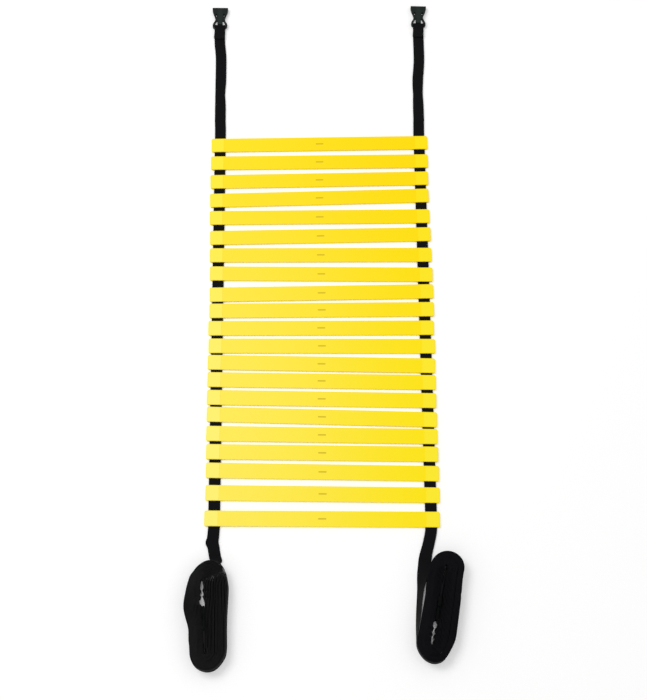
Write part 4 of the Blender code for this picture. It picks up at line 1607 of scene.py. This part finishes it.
@dataclass(frozen=True)
class Studio:
    """The pale floor, the soft light from the upper left, and the camera high in front."""

    eye: tuple[float, float, float] = (-0.0477, -1.0990, 3.0469)
    pitch: float = 0.3320062
    roll: float = 0.0441898
    yaw: float = -0.0497780
    # The lens in pixels of the photograph, and the photograph's longer side
    lens_pixels: float = 1475.0
    photo_pixels: float = 700.0
    sensor: float = 36.0
    sight: float = 50.0
    white: Colour = (1.0, 1.0, 1.0)
    ambient: float = 0.77
    key_power: float = 86.0
    key_place: tuple[float, float, float] = (-2.6, 1.5, 4.3)
    key_size: float = 2.6
    floor_half: float = 9.0
    floor_drop: float = 0.0002
    floor_tone: Colour = (0.96, 0.96, 0.96)
    hollow_painted_shade: Colour = (0.02, 0.02, 0.02)
    floor_roughness: float = 0.9
    painted_glow_strength: float = 0.20
    hollow_reach: float = 0.12
    hollow_samples: int = 32
    # Shares of open sky: where the floor is lit at all rather than painted dark as shade, where its painted
    # glow is strongest, and where weakest
    lit_from: Span = (0.055, 0.100)
    deep_sky: Span = (0.12, 0.35)
    deep_glow: float = 2.0
    wide_sky: Span = (0.35, 1.0)
    wide_glow: float = 0.35

    def camera(self) -> None:
        """Stand the camera where the photograph was taken from."""
        turn = Matrix.Rotation(self.yaw, 3, "Z")
        ahead = turn @ Vector((0, math.sin(self.pitch), -math.cos(self.pitch)))
        right = turn @ Vector((1, 0, 0))
        up = turn @ Vector((0, math.cos(self.pitch), math.sin(self.pitch)))
        level = math.cos(self.roll) * right + math.sin(self.roll) * up
        above = -math.sin(self.roll) * right + math.cos(self.roll) * up
        data = bpy.data.cameras.new("studio_camera")
        data.sensor_width = self.sensor
        data.lens = self.sensor * self.lens_pixels / self.photo_pixels
        data.clip_end = self.sight
        item = stand("studio_camera", data)
        turned = Matrix((level, above, -ahead)).transposed().to_4x4()
        item.matrix_world = Matrix.Translation(self.eye) @ turned
        bpy.context.scene.camera = item

    def key(self) -> None:
        """Hang the large soft lamp."""
        data = bpy.data.lights.new("key_lamp", "AREA")
        data.shape = "SQUARE"
        data.size = self.key_size
        data.energy = self.key_power
        item = stand("key_lamp", data)
        item.location = self.key_place
        item.rotation_euler = (-Vector(self.key_place)).to_track_quat("-Z", "Y").to_euler()

    def world(self) -> None:
        """Light from all round, and white wherever the camera, gloss or glass looks past the floor."""
        world = bpy.data.worlds.new("studio_world")
        bpy.context.scene.world = world
        world.use_nodes = True
        g = Nodes(world.node_tree)
        soft, bright = g.tree.nodes["Background"], g.node("Background")
        g.put(soft.inputs["Strength"], self.ambient)
        for light in (soft, bright):
            g.put(light.inputs["Color"], self.white)
        chosen = g.node("MixShader")
        for socket, value in zip(chosen.inputs, (g.seen(), soft.outputs[0], bright.outputs[0])):
            g.put(socket, value)
        g.put(g.tree.nodes["World Output"].inputs["Surface"], chosen.outputs[0])

    def floor_finish(self) -> bpy.types.Material:
        """A white floor, painted dark as shade only in the deepest hollows, and lifted a little by a painted
        glow where it is seen.

        Returns:
            The material.
        """
        g = Graph("studio_floor")
        hollow = g.node("AmbientOcclusion", samples=self.hollow_samples)
        g.put(hollow.inputs["Distance"], self.hollow_reach)
        sky = hollow.outputs["AO"]
        # Painted shade: the floor's colour turns dark where almost no sky is open, in the deepest hollows.
        lit = g.step(sky, *self.lit_from)
        g.put(g.shader.inputs["Base Color"], g.mix(lit, self.hollow_painted_shade, self.floor_tone))
        g.put(g.shader.inputs["Roughness"], self.floor_roughness)
        g.gloss(specular=0.0)
        # Painted glow: the floor glows where it is seen, most in half-open hollows beside the ladder and
        # least on the open floor.
        lift = g.times(g.times(lit, g.step(sky, *self.deep_sky, self.deep_glow, 1.0)),
                       g.step(sky, *self.wide_sky, 1.0, self.wide_glow))
        g.put(g.shader.inputs["Emission Color"], self.white)
        g.put(g.shader.inputs["Emission Strength"], g.times(g.seen(), g.times(lift, self.painted_glow_strength)))
        return g.material

    def floor(self) -> None:
        """Lay a plain floor that keeps the ladder's shadow."""
        bm = bmesh.new()
        bmesh.ops.create_grid(bm, x_segments=1, y_segments=1, size=self.floor_half)
        bmesh.ops.translate(bm, vec=(0, 0, -self.floor_drop), verts=bm.verts)
        mesh = bpy.data.meshes.new("studio_floor")
        bm.to_mesh(mesh)
        bm.free()
        mesh.materials.append(self.floor_finish())
        stand("studio_floor", mesh)

    def build(self) -> None:
        """Set up the whole studio."""
        bpy.context.scene.view_settings.view_transform = "Standard"
        self.camera()
        self.key()
        self.world()
        self.floor()


# The whole ladder


# The right webbing lies in more shade than the left one, and the plugs lie in the hanks' shade
SHADED_WEBBING = WebbingFinish(name="woven_webbing_shaded", edge=(0.0066, 0.0062, 0.0084))
PLUG_PLASTIC = BucklePlastic(name="plug_plastic", base=(0.0020, 0.0026, 0.0024),
                             wear_and_highlight=(0.0040, 0.0046, 0.0044), specular=0.03)


def hinge_of(frame: dict, name: str) -> tuple[Vector, float]:
    """A buckle bar's middle and turn, from the joint on it.

    Args:
        frame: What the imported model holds.
        name: The joint's name.

    Returns:
        The place and the turn about the upright axis.
    """
    joint = next(j for j in frame["joints"] if j["name"] == name)
    axis = joint["axis"]
    return Vector(joint["pos_m"]), math.atan2(axis[1], axis[0])


def main() -> None:
    """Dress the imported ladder."""
    logging.basicConfig(level=logging.INFO, format="%(name)s: %(message)s")
    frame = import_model()
    Studio().build()
    rungs = RungSet(frame)
    grain, weave = FineGrain().make(), HerringboneWeave().make()
    mouldings = rungs.build(RungPlastic().make(grain))
    thread = ThreadFinish().make(grain)
    webbings = {"left": WebbingFinish().make(weave), "right": SHADED_WEBBING.make(weave)}
    for plan in (LEFT, RIGHT):
        bar, turn = hinge_of(frame, f"female_buckle_{plan.name}_hinge")
        strap = Strap(plan, rungs.places["rung_01"][0].y, rungs.places["rung_21"][0].y, bar, turn)
        strip, length = strap.build(webbings[plan.name])
        sewn = Stitches(strap).build(thread)
        LOG.info("%s: %.3f m of webbing", strip.name, length)
    Buckles(frame).build(BucklePlastic().make(grain), PLUG_PLASTIC.make(grain))


if __name__ == "__main__":
    main()
